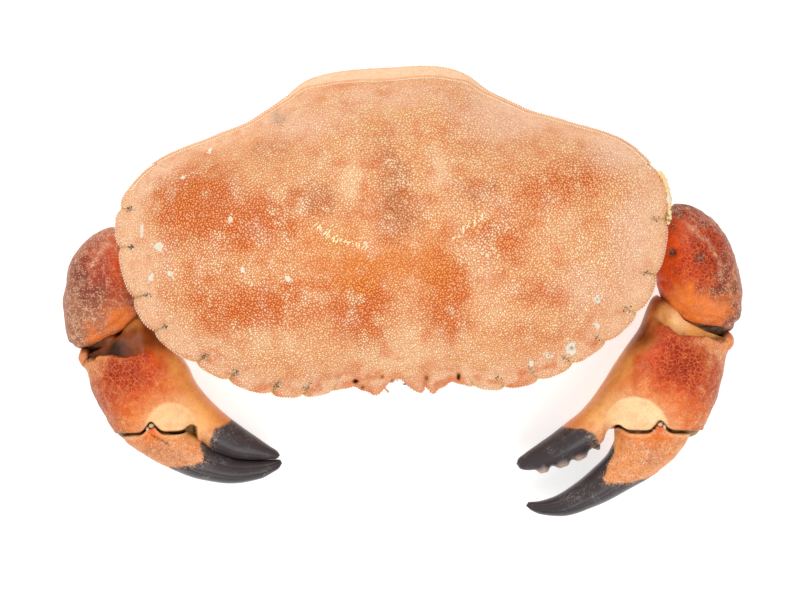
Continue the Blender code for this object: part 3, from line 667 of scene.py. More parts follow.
def ladder(rows, grid):
    """Rings lofted through a ladder of sections, with their ends and their places along and across.

    Each section is a squarish ellipse between the two edges and the lowest and highest z. grid
    names the counts of rings and columns and the squareness in GRIDS.
    """
    ring_count, segments, squareness = GRIDS[grid]
    table = np.array(rows, float)
    middle = (table[:, 0:2] + table[:, 2:4]) / 2
    steps = np.linalg.norm(np.diff(middle, axis=0), axis=1)
    knots = np.concatenate([[0.0], np.cumsum(np.maximum(steps, 1.5))])
    length = knots[-1]
    knots = knots / length
    share = np.linspace(0, 1, ring_count + 2)[1:-1]
    share = share - 0.12 * np.sin(2 * np.pi * share)
    section = smooth(knots, table, share, BLUNTNESS)
    low, high = section[:, 4], section[:, 5]
    side, rise = squarish(segments, squareness, squareness)
    centre = (section[:, 0:2] + section[:, 2:4]) / 2
    reach = (section[:, 2:4] - section[:, 0:2]) / 2
    plan = centre[:, None, :] + reach[:, None, :] * side[None, :, None]
    height = (low + high)[:, None] / 2 + (high - low)[:, None] / 2 * rise[None, :]
    rings = np.concatenate([plan, height[:, :, None]], axis=2)
    ends = [(row[0], row[1], (row[4] + row[5]) / 2) for row in (table[0], table[-1])]
    return SimpleNamespace(rings=rings, ends=ends, share=share, side=side, run=share * length,
                           section=np.interp(share, knots, np.arange(len(table))),
                           marks=knots * length)


def grounded(rings):
    """Nothing reaches below the table: what would is pressed flat just above it."""
    rings = rings.copy()
    rings[..., 2] = np.maximum(rings[..., 2], TOUCHING)
    return rings


def circles(axes, count):
    """Points of a unit circle round each axis, square to it."""
    helper = np.where(np.abs(axes[:, 2:3]) < 0.9, (0.0, 0.0, 1.0), (1.0, 0.0, 0.0))
    across = np.cross(axes, helper)
    across /= np.linalg.norm(across, axis=1, keepdims=True)
    other = np.cross(axes, across)
    turn = turns(count)
    return across[:, None] * np.cos(turn)[None, :, None] + other[:, None] * np.sin(turn)[None, :, None]


def beads(centres, normals, radii, heights, sides=6, sunk=0.35):
    """Small pointed domes: a tip, a ring of corners just above the skin, and a point below it."""
    ring = circles(normals, sides) * radii[:, None, None]
    ring = centres[:, None] + ring + (normals * heights[:, None] * 0.3)[:, None]
    tip = (centres + normals * heights[:, None])[:, None]
    root = (centres - normals * sunk)[:, None]
    points = np.concatenate([tip, ring, root], axis=1)
    here = np.arange(1, sides + 1)
    ahead = np.roll(here, -1)
    one = np.concatenate([np.stack([np.zeros(sides, int), here, ahead], axis=1),
                          np.stack([np.full(sides, sides + 1), ahead, here], axis=1)])
    faces = one[None] + (np.arange(len(centres)) * (sides + 2))[:, None, None]
    points = points.reshape(-1, 3)
    return points, outward(points, [faces.reshape(-1, 3)])


def bead_tint(tips, skirts, sides=6):
    """Colours for beads: the tip's own colour, and the skirt's colour on the ring and below."""
    full = np.repeat(skirts[:, None], sides + 2, axis=1)
    full[:, 0] = tips
    return full.reshape(-1, 3)


def lump(centre, half, rings=9, segments=14, rough=0.0, seed=0):
    """An ellipsoid of the given half sizes, with a rough surface."""
    fall = np.linspace(0, np.pi, rings + 2)[1:-1, None]
    turn = turns(segments)[None, :]
    unit = np.stack([np.sin(fall) * np.cos(turn), np.sin(fall) * np.sin(turn),
                     np.cos(fall) * np.ones_like(turn)], axis=2)
    swell = 1 + rough * noise(unit * 1.9 + np.array(centre), 1.0, seed)[..., None]
    grid = np.array(centre) + unit * swell * np.array(half)
    top, bottom = (np.array(centre) + (0, 0, rise) for rise in (half[2], -half[2]))
    return skin(grounded(grid), top, grounded(bottom))


def rod(path, radii, segments=8):
    """A round profile carried along a path, pinched to a point at both ends."""
    path = np.array(path, float)
    ahead = np.gradient(path, axis=0)
    ahead /= np.linalg.norm(ahead, axis=1, keepdims=True)
    rings = path[:, None] + circles(ahead, segments) * np.array(radii, float)[:, None, None]
    return skin(rings, path[0] - ahead[0] * radii[0] * 0.5, path[-1] + ahead[-1] * radii[-1] * 0.5)


def bristles(roots, tips, radius):
    """Stiff hairs: each a thin three-sided cone from its root to its tip."""
    ahead = tips - roots
    ahead /= np.linalg.norm(ahead, axis=1, keepdims=True)
    rings = roots[:, None] + circles(ahead, 3) * radius
    points = np.concatenate([rings, tips[:, None]], axis=1).reshape(-1, 3)
    one = np.array([(0, 1, 3), (1, 2, 3), (2, 0, 3), (0, 2, 1)])
    faces = (one[None] + (np.arange(len(roots)) * 4)[:, None, None]).reshape(-1, 3)
    return points, outward(points, [faces])


# ---------------------------------------------------------------- finishes

class Tree:
    """Adds nodes to a node tree, and links or sets their inputs."""

    def __init__(self, tree):
        self.tree = tree
        tree.nodes.clear()

    def add(self, kind, inputs=None, **settings):
        node = self.tree.nodes.new(kind)
        for name, value in settings.items():
            setattr(node, name, value)
        for name, value in (inputs or {}).items():
            if isinstance(value, bpy.types.NodeSocket):
                self.tree.links.new(value, node.inputs[name])
            else:
                node.inputs[name].default_value = value
        return node

    def math(self, operation, one, two=0.0):
        return self.add("ShaderNodeMath", {0: one, 1: two}, operation=operation).outputs[0]

    def times(self, one, two):
        return self.math("MULTIPLY", one, two)

    def blend(self, share, under, over, kind="MIX"):
        """A colour with another laid over it. The node's inputs are 0, the share, then 6 and 7."""
        under, over = (tone if isinstance(tone, bpy.types.NodeSocket) else (*tone[:3], 1.0)
                       for tone in (under, over))
        return self.add("ShaderNodeMix", {0: share, 6: under, 7: over}, data_type="RGBA",
                        blend_type=kind, clamp_factor=True).outputs[2]

    def darker(self, tone, red, green, blue):
        return self.blend(1.0, tone, (red, green, blue), "MULTIPLY")

    def ramp(self, value, low, high, to_low=0.0, to_high=1.0):
        inputs = {"Value": value, "From Min": low, "From Max": high, "To Min": to_low, "To Max": to_high}
        return self.add("ShaderNodeMapRange", inputs, clamp=True).outputs[0]

    def attribute(self, name):
        return self.add("ShaderNodeAttribute", attribute_name=name, attribute_type="GEOMETRY")

    def tint(self):
        return self.attribute("tint").outputs["Color"]

    def mottle(self, size, contrast):
        values = {"Size": size, "Contrast": contrast}
        return self.add("ShaderNodeGroup", values, node_tree=effect("mottle")).outputs["Value"]

    def speckle(self, size, share, radius):
        values = {"Size": size, "Share": share, "Radius": radius}
        return self.add("ShaderNodeGroup", values, node_tree=effect("speckle")).outputs["Mask"]

    def veins(self, size, width, bend):
        values = {"Size": size, "Width": width, "Bend": bend}
        return self.add("ShaderNodeGroup", values, node_tree=effect("veins"))


def new_effect(name, inputs, outputs):
    """An empty shader node group with named number inputs, and its two end nodes."""
    effect = bpy.data.node_groups.new(name, "ShaderNodeTree")
    tree = Tree(effect)
    for label, default in inputs:
        socket = effect.interface.new_socket(label, in_out="INPUT", socket_type="NodeSocketFloat")
        socket.default_value = default
    for label in outputs:
        effect.interface.new_socket(label, in_out="OUTPUT", socket_type="NodeSocketFloat")
    return effect, tree, tree.add("NodeGroupInput"), tree.add("NodeGroupOutput")


def object_places(tree, size):
    """Object coordinates divided by a size in millimetres."""
    places = tree.add("ShaderNodeTexCoord").outputs["Object"]
    scale = tree.math("DIVIDE", 1.0 / MM, size)
    return tree.add("ShaderNodeVectorMath", {0: places, "Scale": scale}, operation="SCALE").outputs[0]


def speckle_effect():
    """Round dots of a size in mm: one in each random cell, in a share of the cells."""
    effect, tree, given, result = new_effect(
        "Crab speckle", (("Size", 1.0), ("Share", 1.0), ("Radius", 0.4)), ("Mask",))
    cells = tree.add("ShaderNodeTexVoronoi", {"Vector": object_places(tree, given.outputs["Size"]),
                                              "Scale": 1.0}, feature="F1")
    dot = tree.math("SUBTRACT", given.outputs["Radius"], cells.outputs["Distance"])
    dot = tree.ramp(dot, -0.06, 0.12)
    random = tree.add("ShaderNodeSeparateColor", {0: cells.outputs["Color"]}).outputs[0]
    kept = tree.math("LESS_THAN", random, given.outputs["Share"])
    tree.tree.links.new(tree.times(dot, kept), result.inputs["Mask"])
    return effect


def vein_effect():
    """A network of pale veins: the edges between cells of a size in mm, bent by noise."""
    effect, tree, given, result = new_effect(
        "Crab veins", (("Size", 1.6), ("Width", 0.12), ("Bend", 0.5)), ("Mask", "Cell"))
    places = object_places(tree, given.outputs["Size"])
    bend = tree.add("ShaderNodeTexNoise", {"Vector": places, "Scale": 1.3, "Detail": 2.0})
    bend = tree.add("ShaderNodeVectorMath", {0: bend.outputs["Color"], "Scale": given.outputs["Bend"]},
                    operation="SCALE").outputs[0]
    bent = tree.add("ShaderNodeVectorMath", {0: places, 1: bend}, operation="ADD").outputs[0]
    edge = tree.add("ShaderNodeTexVoronoi", {"Vector": bent, "Scale": 1.0}, feature="DISTANCE_TO_EDGE")
    cell = tree.add("ShaderNodeTexVoronoi", {"Vector": bent, "Scale": 1.0}, feature="F1")
    line = tree.math("DIVIDE", edge.outputs["Distance"], given.outputs["Width"])
    tree.tree.links.new(tree.ramp(line, 0.25, 1.0, 1.0, 0.0), result.inputs["Mask"])
    random = tree.add("ShaderNodeSeparateColor", {0: cell.outputs["Color"]}).outputs[1]
    tree.tree.links.new(random, result.inputs["Cell"])
    return effect


def mottle_effect():
    """Soft cloudy variation round one half, at a size in mm."""
    effect, tree, given, result = new_effect(
        "Crab mottle", (("Size", 3.0), ("Contrast", 1.0)), ("Value",))
    cloudy = tree.add("ShaderNodeTexNoise", {"Vector": object_places(tree, given.outputs["Size"]),
                                             "Scale": 1.0, "Detail": 3.0, "Roughness": 0.6})
    centred = tree.math("SUBTRACT", cloudy.outputs["Fac"], 0.5)
    strong = tree.times(centred, given.outputs["Contrast"])
    tree.tree.links.new(tree.math("ADD", strong, 0.5), result.inputs["Value"])
    return effect


EFFECT_MAKERS = {"speckle": speckle_effect, "veins": vein_effect, "mottle": mottle_effect}
MADE = {}


def effect(name):
    """The shared node group of that name, made once."""
    if name not in MADE:
        MADE[name] = EFFECT_MAKERS[name]()
    return MADE[name]


def new_finish(name):
    """A material with an empty tree, and its helper."""
    made = bpy.data.materials.new(name)
    made.use_nodes = True
    return made, Tree(made.node_tree)


def finish_surface(tree, colour, roughness, height, relief, **constants):
    """Ends a material: the Principled shader, with a bump whose full height is relief in mm."""
    bump = tree.add("ShaderNodeBump", {"Strength": 1.0, "Distance": relief * MM, "Height": height})
    shader = tree.add("ShaderNodeBsdfPrincipled", {
        "Base Color": colour, "Roughness": roughness, "Normal": bump.outputs["Normal"]})
    for label, value in constants.items():
        shader.inputs[label.replace("_", " ")].default_value = value
    tree.add("ShaderNodeOutputMaterial", {"Surface": shader.outputs["BSDF"]})


def shell_finish(settings):
    """The shell between its granules: fine brown stipple, tiny pale grains and soft mottling."""
    made, tree = new_finish("cooked_shell")
    tint = tree.tint()
    rough = tree.attribute("granular").outputs["Fac"]
    mottle = tree.mottle(1.7, 1.3)
    fine = tree.mottle(0.5, 1.6)
    grains = tree.speckle(0.6, 0.6, 0.34)
    stipple = tree.speckle(0.7, 0.5, 0.32)
    deep = tree.darker(tint, 0.80, 0.62, 0.46)
    colour = tree.blend(tree.ramp(mottle, 0.42, 0.9, 0.0, 0.6), tint, deep)
    light = tree.blend(0.45, colour, settings.granule)
    colour = tree.blend(tree.times(grains, 0.4), colour, light)
    shade = tree.times(stipple, tree.ramp(rough, 0.0, 1.0, 0.22, 0.30))
    colour = tree.blend(shade, colour, settings.crack)
    colour = tree.blend(tree.ramp(fine, 0.35, 0.75, 0.0, 0.3), colour, deep)
    height = tree.math("ADD", tree.times(grains, 0.6), fine)
    roughness = tree.ramp(mottle, 0.2, 0.8, 0.46, 0.62)
    finish_surface(tree, colour, roughness, height, 0.10, Specular_IOR_Level=0.3)
    return made


def granule_finish():
    """Little grains of the shell, pale at the tip."""
    made, tree = new_finish("shell_granules")
    tint = tree.tint()
    fine = tree.mottle(0.9, 1.4)
    deep = tree.darker(tint, 0.84, 0.68, 0.55)
    colour = tree.blend(tree.ramp(fine, 0.4, 0.8, 0.0, 0.7), tint, deep)
    roughness = tree.ramp(fine, 0.2, 0.8, 0.36, 0.52)
    finish_surface(tree, colour, roughness, fine, 0.02, Specular_IOR_Level=0.3)
    return made


def chalk_finish(settings):
    """Old tubes, barnacle scars and sand: chalky, pitted and stained."""
    made, tree = new_finish("chalky_crust")
    tint = tree.tint()
    pits = tree.speckle(0.5, 0.5, 0.34)
    mottle = tree.mottle(0.9, 1.6)
    colour = tree.blend(tree.times(pits, 0.35), tint, settings.yellow)
    dull = tree.darker(colour, 0.74, 0.68, 0.58)
    colour = tree.blend(tree.ramp(mottle, 0.5, 1.0, 0.0, 0.6), colour, dull)
    height = tree.math("SUBTRACT", mottle, tree.times(pits, 0.5))
    finish_surface(tree, colour, tree.ramp(mottle, 0.0, 1.0, 0.6, 0.85), height, 0.12,
                   Specular_IOR_Level=0.3)
    return made


def claw_finish(settings):
    """Claw plates: tinted ground, orange veins, pale specks and threads, and black ends."""
    made, tree = new_finish("cooked_claw")
    tint = tree.tint()
    veined, specked, black, gloss = (
        tree.attribute(name).outputs["Fac"] for name in ("veined", "specked", "black", "gloss"))
    wide = tree.veins(1.2, 0.13, 0.9)
    thread = tree.veins(0.95, 0.16, 1.1).outputs["Mask"]
    mottle = tree.mottle(3.0, 1.5)
    patchy = tree.mottle(1.8, 1.8)
    fine = tree.mottle(0.6, 1.6)
    dots = tree.speckle(0.55, 0.5, 0.38)
    shade = tree.speckle(0.8, 0.6, 0.42)
    plain = tree.math("SUBTRACT", 1.0, black)
    deep = tree.darker(tint, 0.62, 0.42, 0.34)
    cell = tree.times(tree.ramp(wide.outputs["Cell"], 0.2, 1.0, 0.0, 0.42), veined)
    colour = tree.blend(cell, tint, deep)
    colour = tree.blend(tree.times(tree.ramp(mottle, 0.4, 0.9, 0.0, 0.45), plain), colour, deep)
    colour = tree.blend(tree.times(tree.ramp(fine, 0.4, 0.8, 0.0, 0.3), plain), colour, deep)
    network = tree.times(wide.outputs["Mask"], veined)
    colour = tree.blend(tree.times(network, tree.ramp(patchy, 0.2, 0.7, 0.2, 0.75)),
                        colour, settings.vein)
    colour = tree.blend(tree.times(tree.times(shade, specked), 0.55), colour, deep)
    pale = tree.math("MAXIMUM", tree.times(dots, 0.7),
                     tree.times(thread, tree.ramp(patchy, 0.45, 0.75, 0.0, 0.7)))
    pale = tree.times(pale, specked)
    colour = tree.blend(pale, colour, settings.speck)
    worn = tree.mottle(5.0, 2.2)
    scuffed = tree.times(tree.ramp(worn, 0.5, 0.9, 0.0, 1.0), black)
    scuffed = tree.times(scuffed, tree.ramp(fine, 0.45, 0.8, 0.0, 0.6))
    colour = tree.blend(scuffed, colour, settings.scuff)
    height = tree.math("ADD", pale, tree.times(tree.math("ADD", fine, network), 0.5))
    height = tree.times(height, tree.ramp(gloss, 0.0, 1.0, 1.0, 0.12))
    roughness = tree.math("ADD", tree.ramp(gloss, 0.0, 1.0, 0.55, 0.27), tree.times(scuffed, 0.3))
    finish_surface(tree, colour, roughness, height, 0.13, Specular_IOR_Level=0.2, Coat_Weight=0.05,
                   Coat_Roughness=0.2)
    return made


def claw_paint(piece, name, seed):
    """Colours, veins and specks of a claw piece: each zone laid over the last by its share."""
    tones = bpy.context.scene.crab_claw
    fine, bend = cloud(piece.rings, 2.2, seed), cloud(piece.rings, 4.2, seed + 20)
    section, across = piece.section[:, None] + 0.3 * bend, piece.side[None, :] - 0.2 * bend
    tint, veined, specked = np.zeros(piece.rings.shape), 0 * fine, 0 * fine
    for tone, veins, specks, ovals in CLAW_ZONES[name if name in CLAW_ZONES else name.split("_")[0]]:
        clear = 1 + 0 * fine
        for middle, side, length, width, strength in ovals:
            clear = clear * (1 - strength * bell(section - middle, length) * bell(across - side, width))
        share = ease(0.02, 0.95, 1 - clear + 0.3 * fine) if ovals else clear
        share = share * (DULLED.get(name, 1.0) if tone in ("flame", "red", "crimson") else 1.0)
        tint = mix(tint, getattr(tones, tone), share)
        veined, specked = veined + (veins - veined) * share, specked + (specks - specked) * share
    return tint, veined, specked


def belly_finish(settings):
    """Belly plates and mouthparts: smooth cream, stained orange brown in the grooves."""
    made, tree = new_finish("belly_plate")
    tint = tree.tint()
    mottle = tree.mottle(4.0, 1.8)
    fine = tree.mottle(0.7, 1.5)
    pores = tree.speckle(0.9, 0.35, 0.26)
    colour = tree.blend(tree.ramp(mottle, 0.45, 1.0, 0.0, 0.45), tint, settings.stain)
    colour = tree.blend(tree.times(pores, 0.35), colour, settings.stain)
    height = tree.math("SUBTRACT", fine, tree.times(pores, 0.8))
    finish_surface(tree, colour, tree.ramp(mottle, 0.2, 0.8, 0.38, 0.55), height, 0.08,
                   Specular_IOR_Level=0.45)
    return made


def leg_finish(settings):
    """Leg pieces: red brown with a pale net, speckled, darker at the toes."""
    made, tree = new_finish("cooked_leg")
    tint = tree.tint()
    net = tree.veins(1.3, 0.2, 0.8)
    dots = tree.speckle(0.8, 0.5, 0.33)
    mottle = tree.mottle(3.0, 1.6)
    deep = tree.darker(tint, 0.62, 0.45, 0.36)
    colour = tree.blend(tree.ramp(mottle, 0.4, 0.9, 0.0, 0.5), tint, deep)
    colour = tree.blend(tree.times(net.outputs["Mask"], 0.3), colour, settings.leg_pale)
    colour = tree.blend(tree.times(dots, 0.4), colour, settings.leg_pale)
    height = tree.math("ADD", dots, mottle)
    finish_surface(tree, colour, tree.ramp(mottle, 0.2, 0.8, 0.42, 0.6), height, 0.10,
                   Specular_IOR_Level=0.45)
    return made


def hair_finish(settings):
    """Bristles, feelers and frayed skin."""
    made, tree = new_finish("crab_bristle")
    mottle = tree.mottle(1.2, 2.0)
    tint = tree.tint()
    colour = tree.blend(tree.ramp(mottle, 0.3, 0.9, 0.0, 0.4), tint, settings.hair)
    finish_surface(tree, colour, tree.ramp(mottle, 0.2, 0.8, 0.45, 0.65), mottle, 0.02)
    return made


def eye_finish(settings):
    """A black polished eye with faint facets."""
    made, tree = new_finish("crab_eye")
    facets = tree.veins(0.3, 0.2, 0.1).outputs["Mask"]
    lighter = tree.blend(0.25, settings.eye, settings.stain)
    colour = tree.blend(tree.times(facets, 0.25), settings.eye, lighter)
    finish_surface(tree, colour, tree.ramp(facets, 0.0, 1.0, 0.12, 0.3), facets, 0.01, Coat_Weight=0.5)
    return made


def finish(name):
    """A material of this crab, made once from the scene's settings."""
    if name not in MADE:
        scene = bpy.context.scene
        makers = {"shell": lambda: shell_finish(scene.crab_shell), "granule": granule_finish,
                  "chalk": lambda: chalk_finish(scene.crab_shell),
                  "claw": lambda: claw_finish(scene.crab_claw),
                  "belly": lambda: belly_finish(scene.crab_belly),
                  "leg": lambda: leg_finish(scene.crab_belly),
                  "hair": lambda: hair_finish(scene.crab_belly),
                  "eye": lambda: eye_finish(scene.crab_belly)}
        MADE[name] = makers[name]()
    return MADE[name]


# ---------------------------------------------------------------- top shell

def lobes(folded, places):
    """Notch depth, share across the lobe and distance in degrees to the nearest notch.

    The rim is level near a lobe's middle and falls into each notch with the fourth power.
    """
    gap = np.min(np.abs(folded[..., None] - places), axis=-1)
    places = np.append(places, LAST_NOTCH)
    depths = np.full(len(places), NOTCH_DEPTH)
    depths[[0, -1]] = END_NOTCH_DEPTH
    lobe = np.clip(np.searchsorted(places, folded, side="right") - 1, 0, len(places) - 2)
    across = np.clip((folded - places[lobe]) / (places[lobe + 1] - places[lobe]), 0.0, 1.0)
    nearest = np.where(across < 0.5, depths[lobe], depths[lobe + 1])
    among = (folded >= places[0]) & (folded < places[-1])
    depth = np.where(among, nearest * np.abs(2 * across - 1) ** 4, 0.0)
    return depth, np.where(among, across, 0.0), gap


def rim_shape(angle):
    """The outline at angles from the back: its radius, notch depth, heights and lobes.

    The radius wanders a little. The toothed front is a depth below it, faded in at both ends.
    """
    folded, turn = np.where(angle > 180.0, 360.0 - angle, angle), np.radians(angle)
    around = np.stack([np.sin(turn), np.cos(turn), 0 * turn], axis=-1)
    radius = along(OUTLINE, folded) + UNEVEN * noise(around, 0.3, 9)
    left, right = lobes(folded, NOTCHES["left"]), lobes(folded, NOTCHES["right"])
    depth, across, gap = (np.where(angle <= 180.0, one, two) for one, two in zip(left, right))
    x, (first, last) = -np.sin(turn) * radius, FRONT_SPAN
    toothed = FRONT_DEPTH - sum(height * bell(x - place, half) for place, half, height in FRONT_TEETH)
    front = ease(first - 1.0, first + 1.5, angle) * (1 - ease(last - 1.5, last + 1.0, angle))
    depth = depth * (1 - front) + toothed * front
    return SimpleNamespace(
        radius=radius, depth=depth, top=along(RIM_HEIGHT, folded), fold=along(FOLD_HEIGHT, folded),
        across=across, gap=gap, folded=folded, front=front, behind=1 - ease(*REAR, folded),
        notched=(folded > NOTCHED[0]) & (folded < NOTCHED[1]), inset=along(RIDGE_INSET, folded))


def sand_places():
    """Where sand lies, a little way in along each suture: x, y and number of grains."""
    for side, word in SIDES:
        for angle in NOTCHES[word][1:-1]:
            reach = along(OUTLINE, angle) - SAND_INSET
            away = np.radians(angle)
            yield side * np.sin(away) * reach, np.cos(away) * reach, SAND_GRAINS[word]


def shell_top(angle, share):
    """A point of the dome at an angle from the back and a share of the way to the rim.

    The fall from the top is part even, with the share squared, and part close to the rim, with
    its sixth power. Swellings, sutures, lobes, the beaded ridge and pits are laid on top.
    """
    angle, share = np.broadcast_arrays(np.mod(np.asarray(angle, float), 360.0), np.asarray(share, float))
    rim = rim_shape(angle)
    cut = rim.depth * np.clip((share - NOTCH_START) / (1 - NOTCH_START), 0.0, 1.0)
    reach = rim.radius * share - cut
    x, y = -np.sin(np.radians(angle)) * reach, np.cos(np.radians(angle)) * reach
    fall = (1 - SHELL_FULLNESS) * share ** 2 + SHELL_FULLNESS * share ** 6
    z = SHELL_TOP - (SHELL_TOP - rim.top) * fall
    inward = rim.radius * (1 - share)
    still = 1 - ease(0.93, 1.0, share)
    for *place, height in SWELLINGS:
        z = z + height * still * oval(x, y, *place)
    z = z - SETTLED * still
    near_edge = 1 - ease(0.0, SUTURE_LENGTH, inward)
    suture = bell(np.radians(rim.gap) * reach, SUTURE_WIDTH) * near_edge * rim.notched * (1 - rim.front)
    z = z - SUTURE_DEPTH * suture
    z = z + LOBE_RISE * np.sin(np.pi * rim.across) * bell(inward - 2.0, 4.0) * (1 - rim.front)
    z = z - RIDGE_GROOVE * bell(inward - rim.inset + 0.6, 0.4) * rim.behind
    z = z + RIDGE_RISE * bell(inward - rim.inset - 0.15, 0.35) * rim.behind
    for pit_x, pit_y, half_x, half_y, deep in PITS:
        z = z - deep * np.exp(-(((x - pit_x) / half_x) ** 2 + ((y - pit_y) / half_y) ** 2) ** 1.5)
    places = np.stack([x, y, z], axis=-1)
    lumpy = 0.09 * noise(places, 2.4, 11) + 0.16 * noise(places, 6.0, 12)
    places[..., 2] += lumpy * (1 - 0.7 * rim.behind * (1 - ease(0.3, 0.9, inward / (rim.inset + 0.01))))
    return places


def shell_top_normal(angle, share):
    """The dome's upward normal, from the difference of near points."""
    step_angle, step_share = 0.25, 0.004
    around = shell_top(angle + step_angle, share) - shell_top(angle - step_angle, share)
    onward = shell_top(angle, share + step_share) - shell_top(angle, share - step_share)
    normal = np.cross(onward, around)
    normal /= np.linalg.norm(normal, axis=-1, keepdims=True)
    return normal * np.sign(normal[..., 2:3])


def shell_place(x, y):
    """The angle from the back and the share of the radius of places in plan."""
    x, y = np.asarray(x, float), np.asarray(y, float)
    angle = np.mod(np.degrees(np.arctan2(-x, y)), 360.0)
    return angle, np.hypot(x, y) / rim_shape(angle).radius


def shell_paint(angle, share, places):
    """The shell's mean colour and how granular it is, at points of its top.

    Zones are laid one over another, then mottling, the pale margin, the back band, the dirt, and
    last the painted shade inside the pits.
    """
    tones = bpy.context.scene.crab_shell
    rim = rim_shape(angle)
    inward = rim.radius * (1 - share)
    broad, fine = cloud(places, 9.0, 31), cloud(places, 3.0, 41)
    ground, laid = tones.peach, {}
    for number, (tone, strength, ovals) in enumerate(SHELL_ZONES):
        spread = patches(places, ovals, 3 + 2 * number) + 0.26 * fine + 0.14 * broad
        laid[tone] = ease(0.12, 0.95, spread) * strength
        ground = mix(ground, getattr(tones, tone), laid[tone])
    ground = mix(ground, tones.rust, 0.5 * ease(0.0, 0.6, cloud(places, 4.0, 51)) * (1 - laid["pink"]))
    ground = mix(ground, tones.pale, 0.5 * ease(0.02, 0.55, cloud(places, 3.2, 53)))
    ground = mix(ground, tones.pink, 0.35 * ease(0.1, 0.6, cloud(places, 6.5, 55)))
    wide = along(MARGIN_WIDTH, rim.folded)
    margin = 1 - ease(0.45, 1.3, inward / wide + 0.35 * fine + 0.2 * broad)
    ground = mix(ground, tones.margin, 0.55 * margin)
    frontal = ease(105.0, 125.0, rim.folded)
    freckled = margin * ease(-0.1, 0.6, cloud(places, 3.0, 61)) * (0.4 + 0.6 * frontal)
    ground = mix(ground, tones.rust, 0.85 * freckled)
    ground = mix(ground, tones.rust, 0.5 * rim.front * (1 - ease(0.5, 3.5, inward - rim.depth)))
    band = ease(-0.2, 0.5, rim.inset - inward) * rim.behind
    ground = mix(ground, tones.back_band, band * 0.9)
    ground = mix(ground, tones.rust, 0.6 * bell(inward - rim.inset + 0.6, 0.35) * rim.behind)
    ground = mix(ground, tones.pale, 0.8 * patches(places, ((-0.4, 42, 1.4, 1.1, 1),), 70))
    sideways = np.radians(rim.gap) * rim.radius * share + 0.3 * fine
    dirty = bell(sideways, 0.35) * (1 - ease(2.5, 7.0, inward)) * rim.notched * (1 - rim.front)
    for x, y, _ in sand_places():
        out_x, out_y = x / np.hypot(x, y), y / np.hypot(x, y)
        run = (places[..., 0] - x) * out_x + (places[..., 1] - y) * out_y
        wide = (places[..., 1] - y) * out_x - (places[..., 0] - x) * out_y
        streak = np.exp(-(run / SAND_LENGTH * 1.6) ** 2 - (wide / 0.9) ** 2)
        ground = mix(ground, tones.pale, 0.5 * streak)
        dirty = np.maximum(dirty, streak * ease(-0.35, 0.35, cloud(places, 1.3, 77)))
    ground = mix(ground, tones.sand, 0.6 * dirty * ease(-0.5, 0.3, fine))
    whitish = bell(sideways, 0.9) * bell(inward - 0.5, 1.6) * rim.notched
    ground = mix(ground, tones.yellow, 0.5 * whitish)
    # Painted shade: each pit is darkened with the crack colour over its hollow and loses its granules.
    painted_pit_shade = np.zeros(np.shape(share))
    for pit_x, pit_y, half_x, half_y, deep in PITS:
        far = ((places[..., 0] - pit_x) / half_x) ** 2 + ((places[..., 1] - pit_y) / half_y) ** 2
        painted_pit_shade = np.maximum(painted_pit_shade, np.exp(-(far * 0.9) ** 1.5) * min(1.0, 0.5 + deep / 4))
        ground = mix(ground, tones.orange, 0.75 * np.exp(-far / 5))
    ground = mix(ground, tones.crack, painted_pit_shade)
    granular = 0.75 + 0.3 * laid["rust"] + 0.3 * laid["dusky"] - 0.2 * laid["pale"] - 0.15 * laid["pink"]
    granular = granular * (1 - 0.4 * margin * (1 - 0.5 * frontal)) * (1 - band) * (1 - painted_pit_shade)
    return ground, np.clip(granular, 0.0, 1.1)


def shell_columns():
    """Angles of the shell's columns: even ones, and closer ones beside each notch and tooth."""
    left, right = NOTCHES["left"], 360.0 - NOTCHES["right"]
    beside = np.array((-0.75, -0.45, -0.22, 0.0, 0.22, 0.45, 0.75))
    places = np.sort(np.concatenate([
        np.linspace(0.0, 360.0, SHELL_COLUMNS, endpoint=False), (left[:, None] + beside).ravel(),
        (right[:, None] + beside).ravel(), np.linspace(155.0, 205.0, FRONT_COLUMNS)]))
    return places[np.concatenate([[True], np.diff(places) > 0.1])]


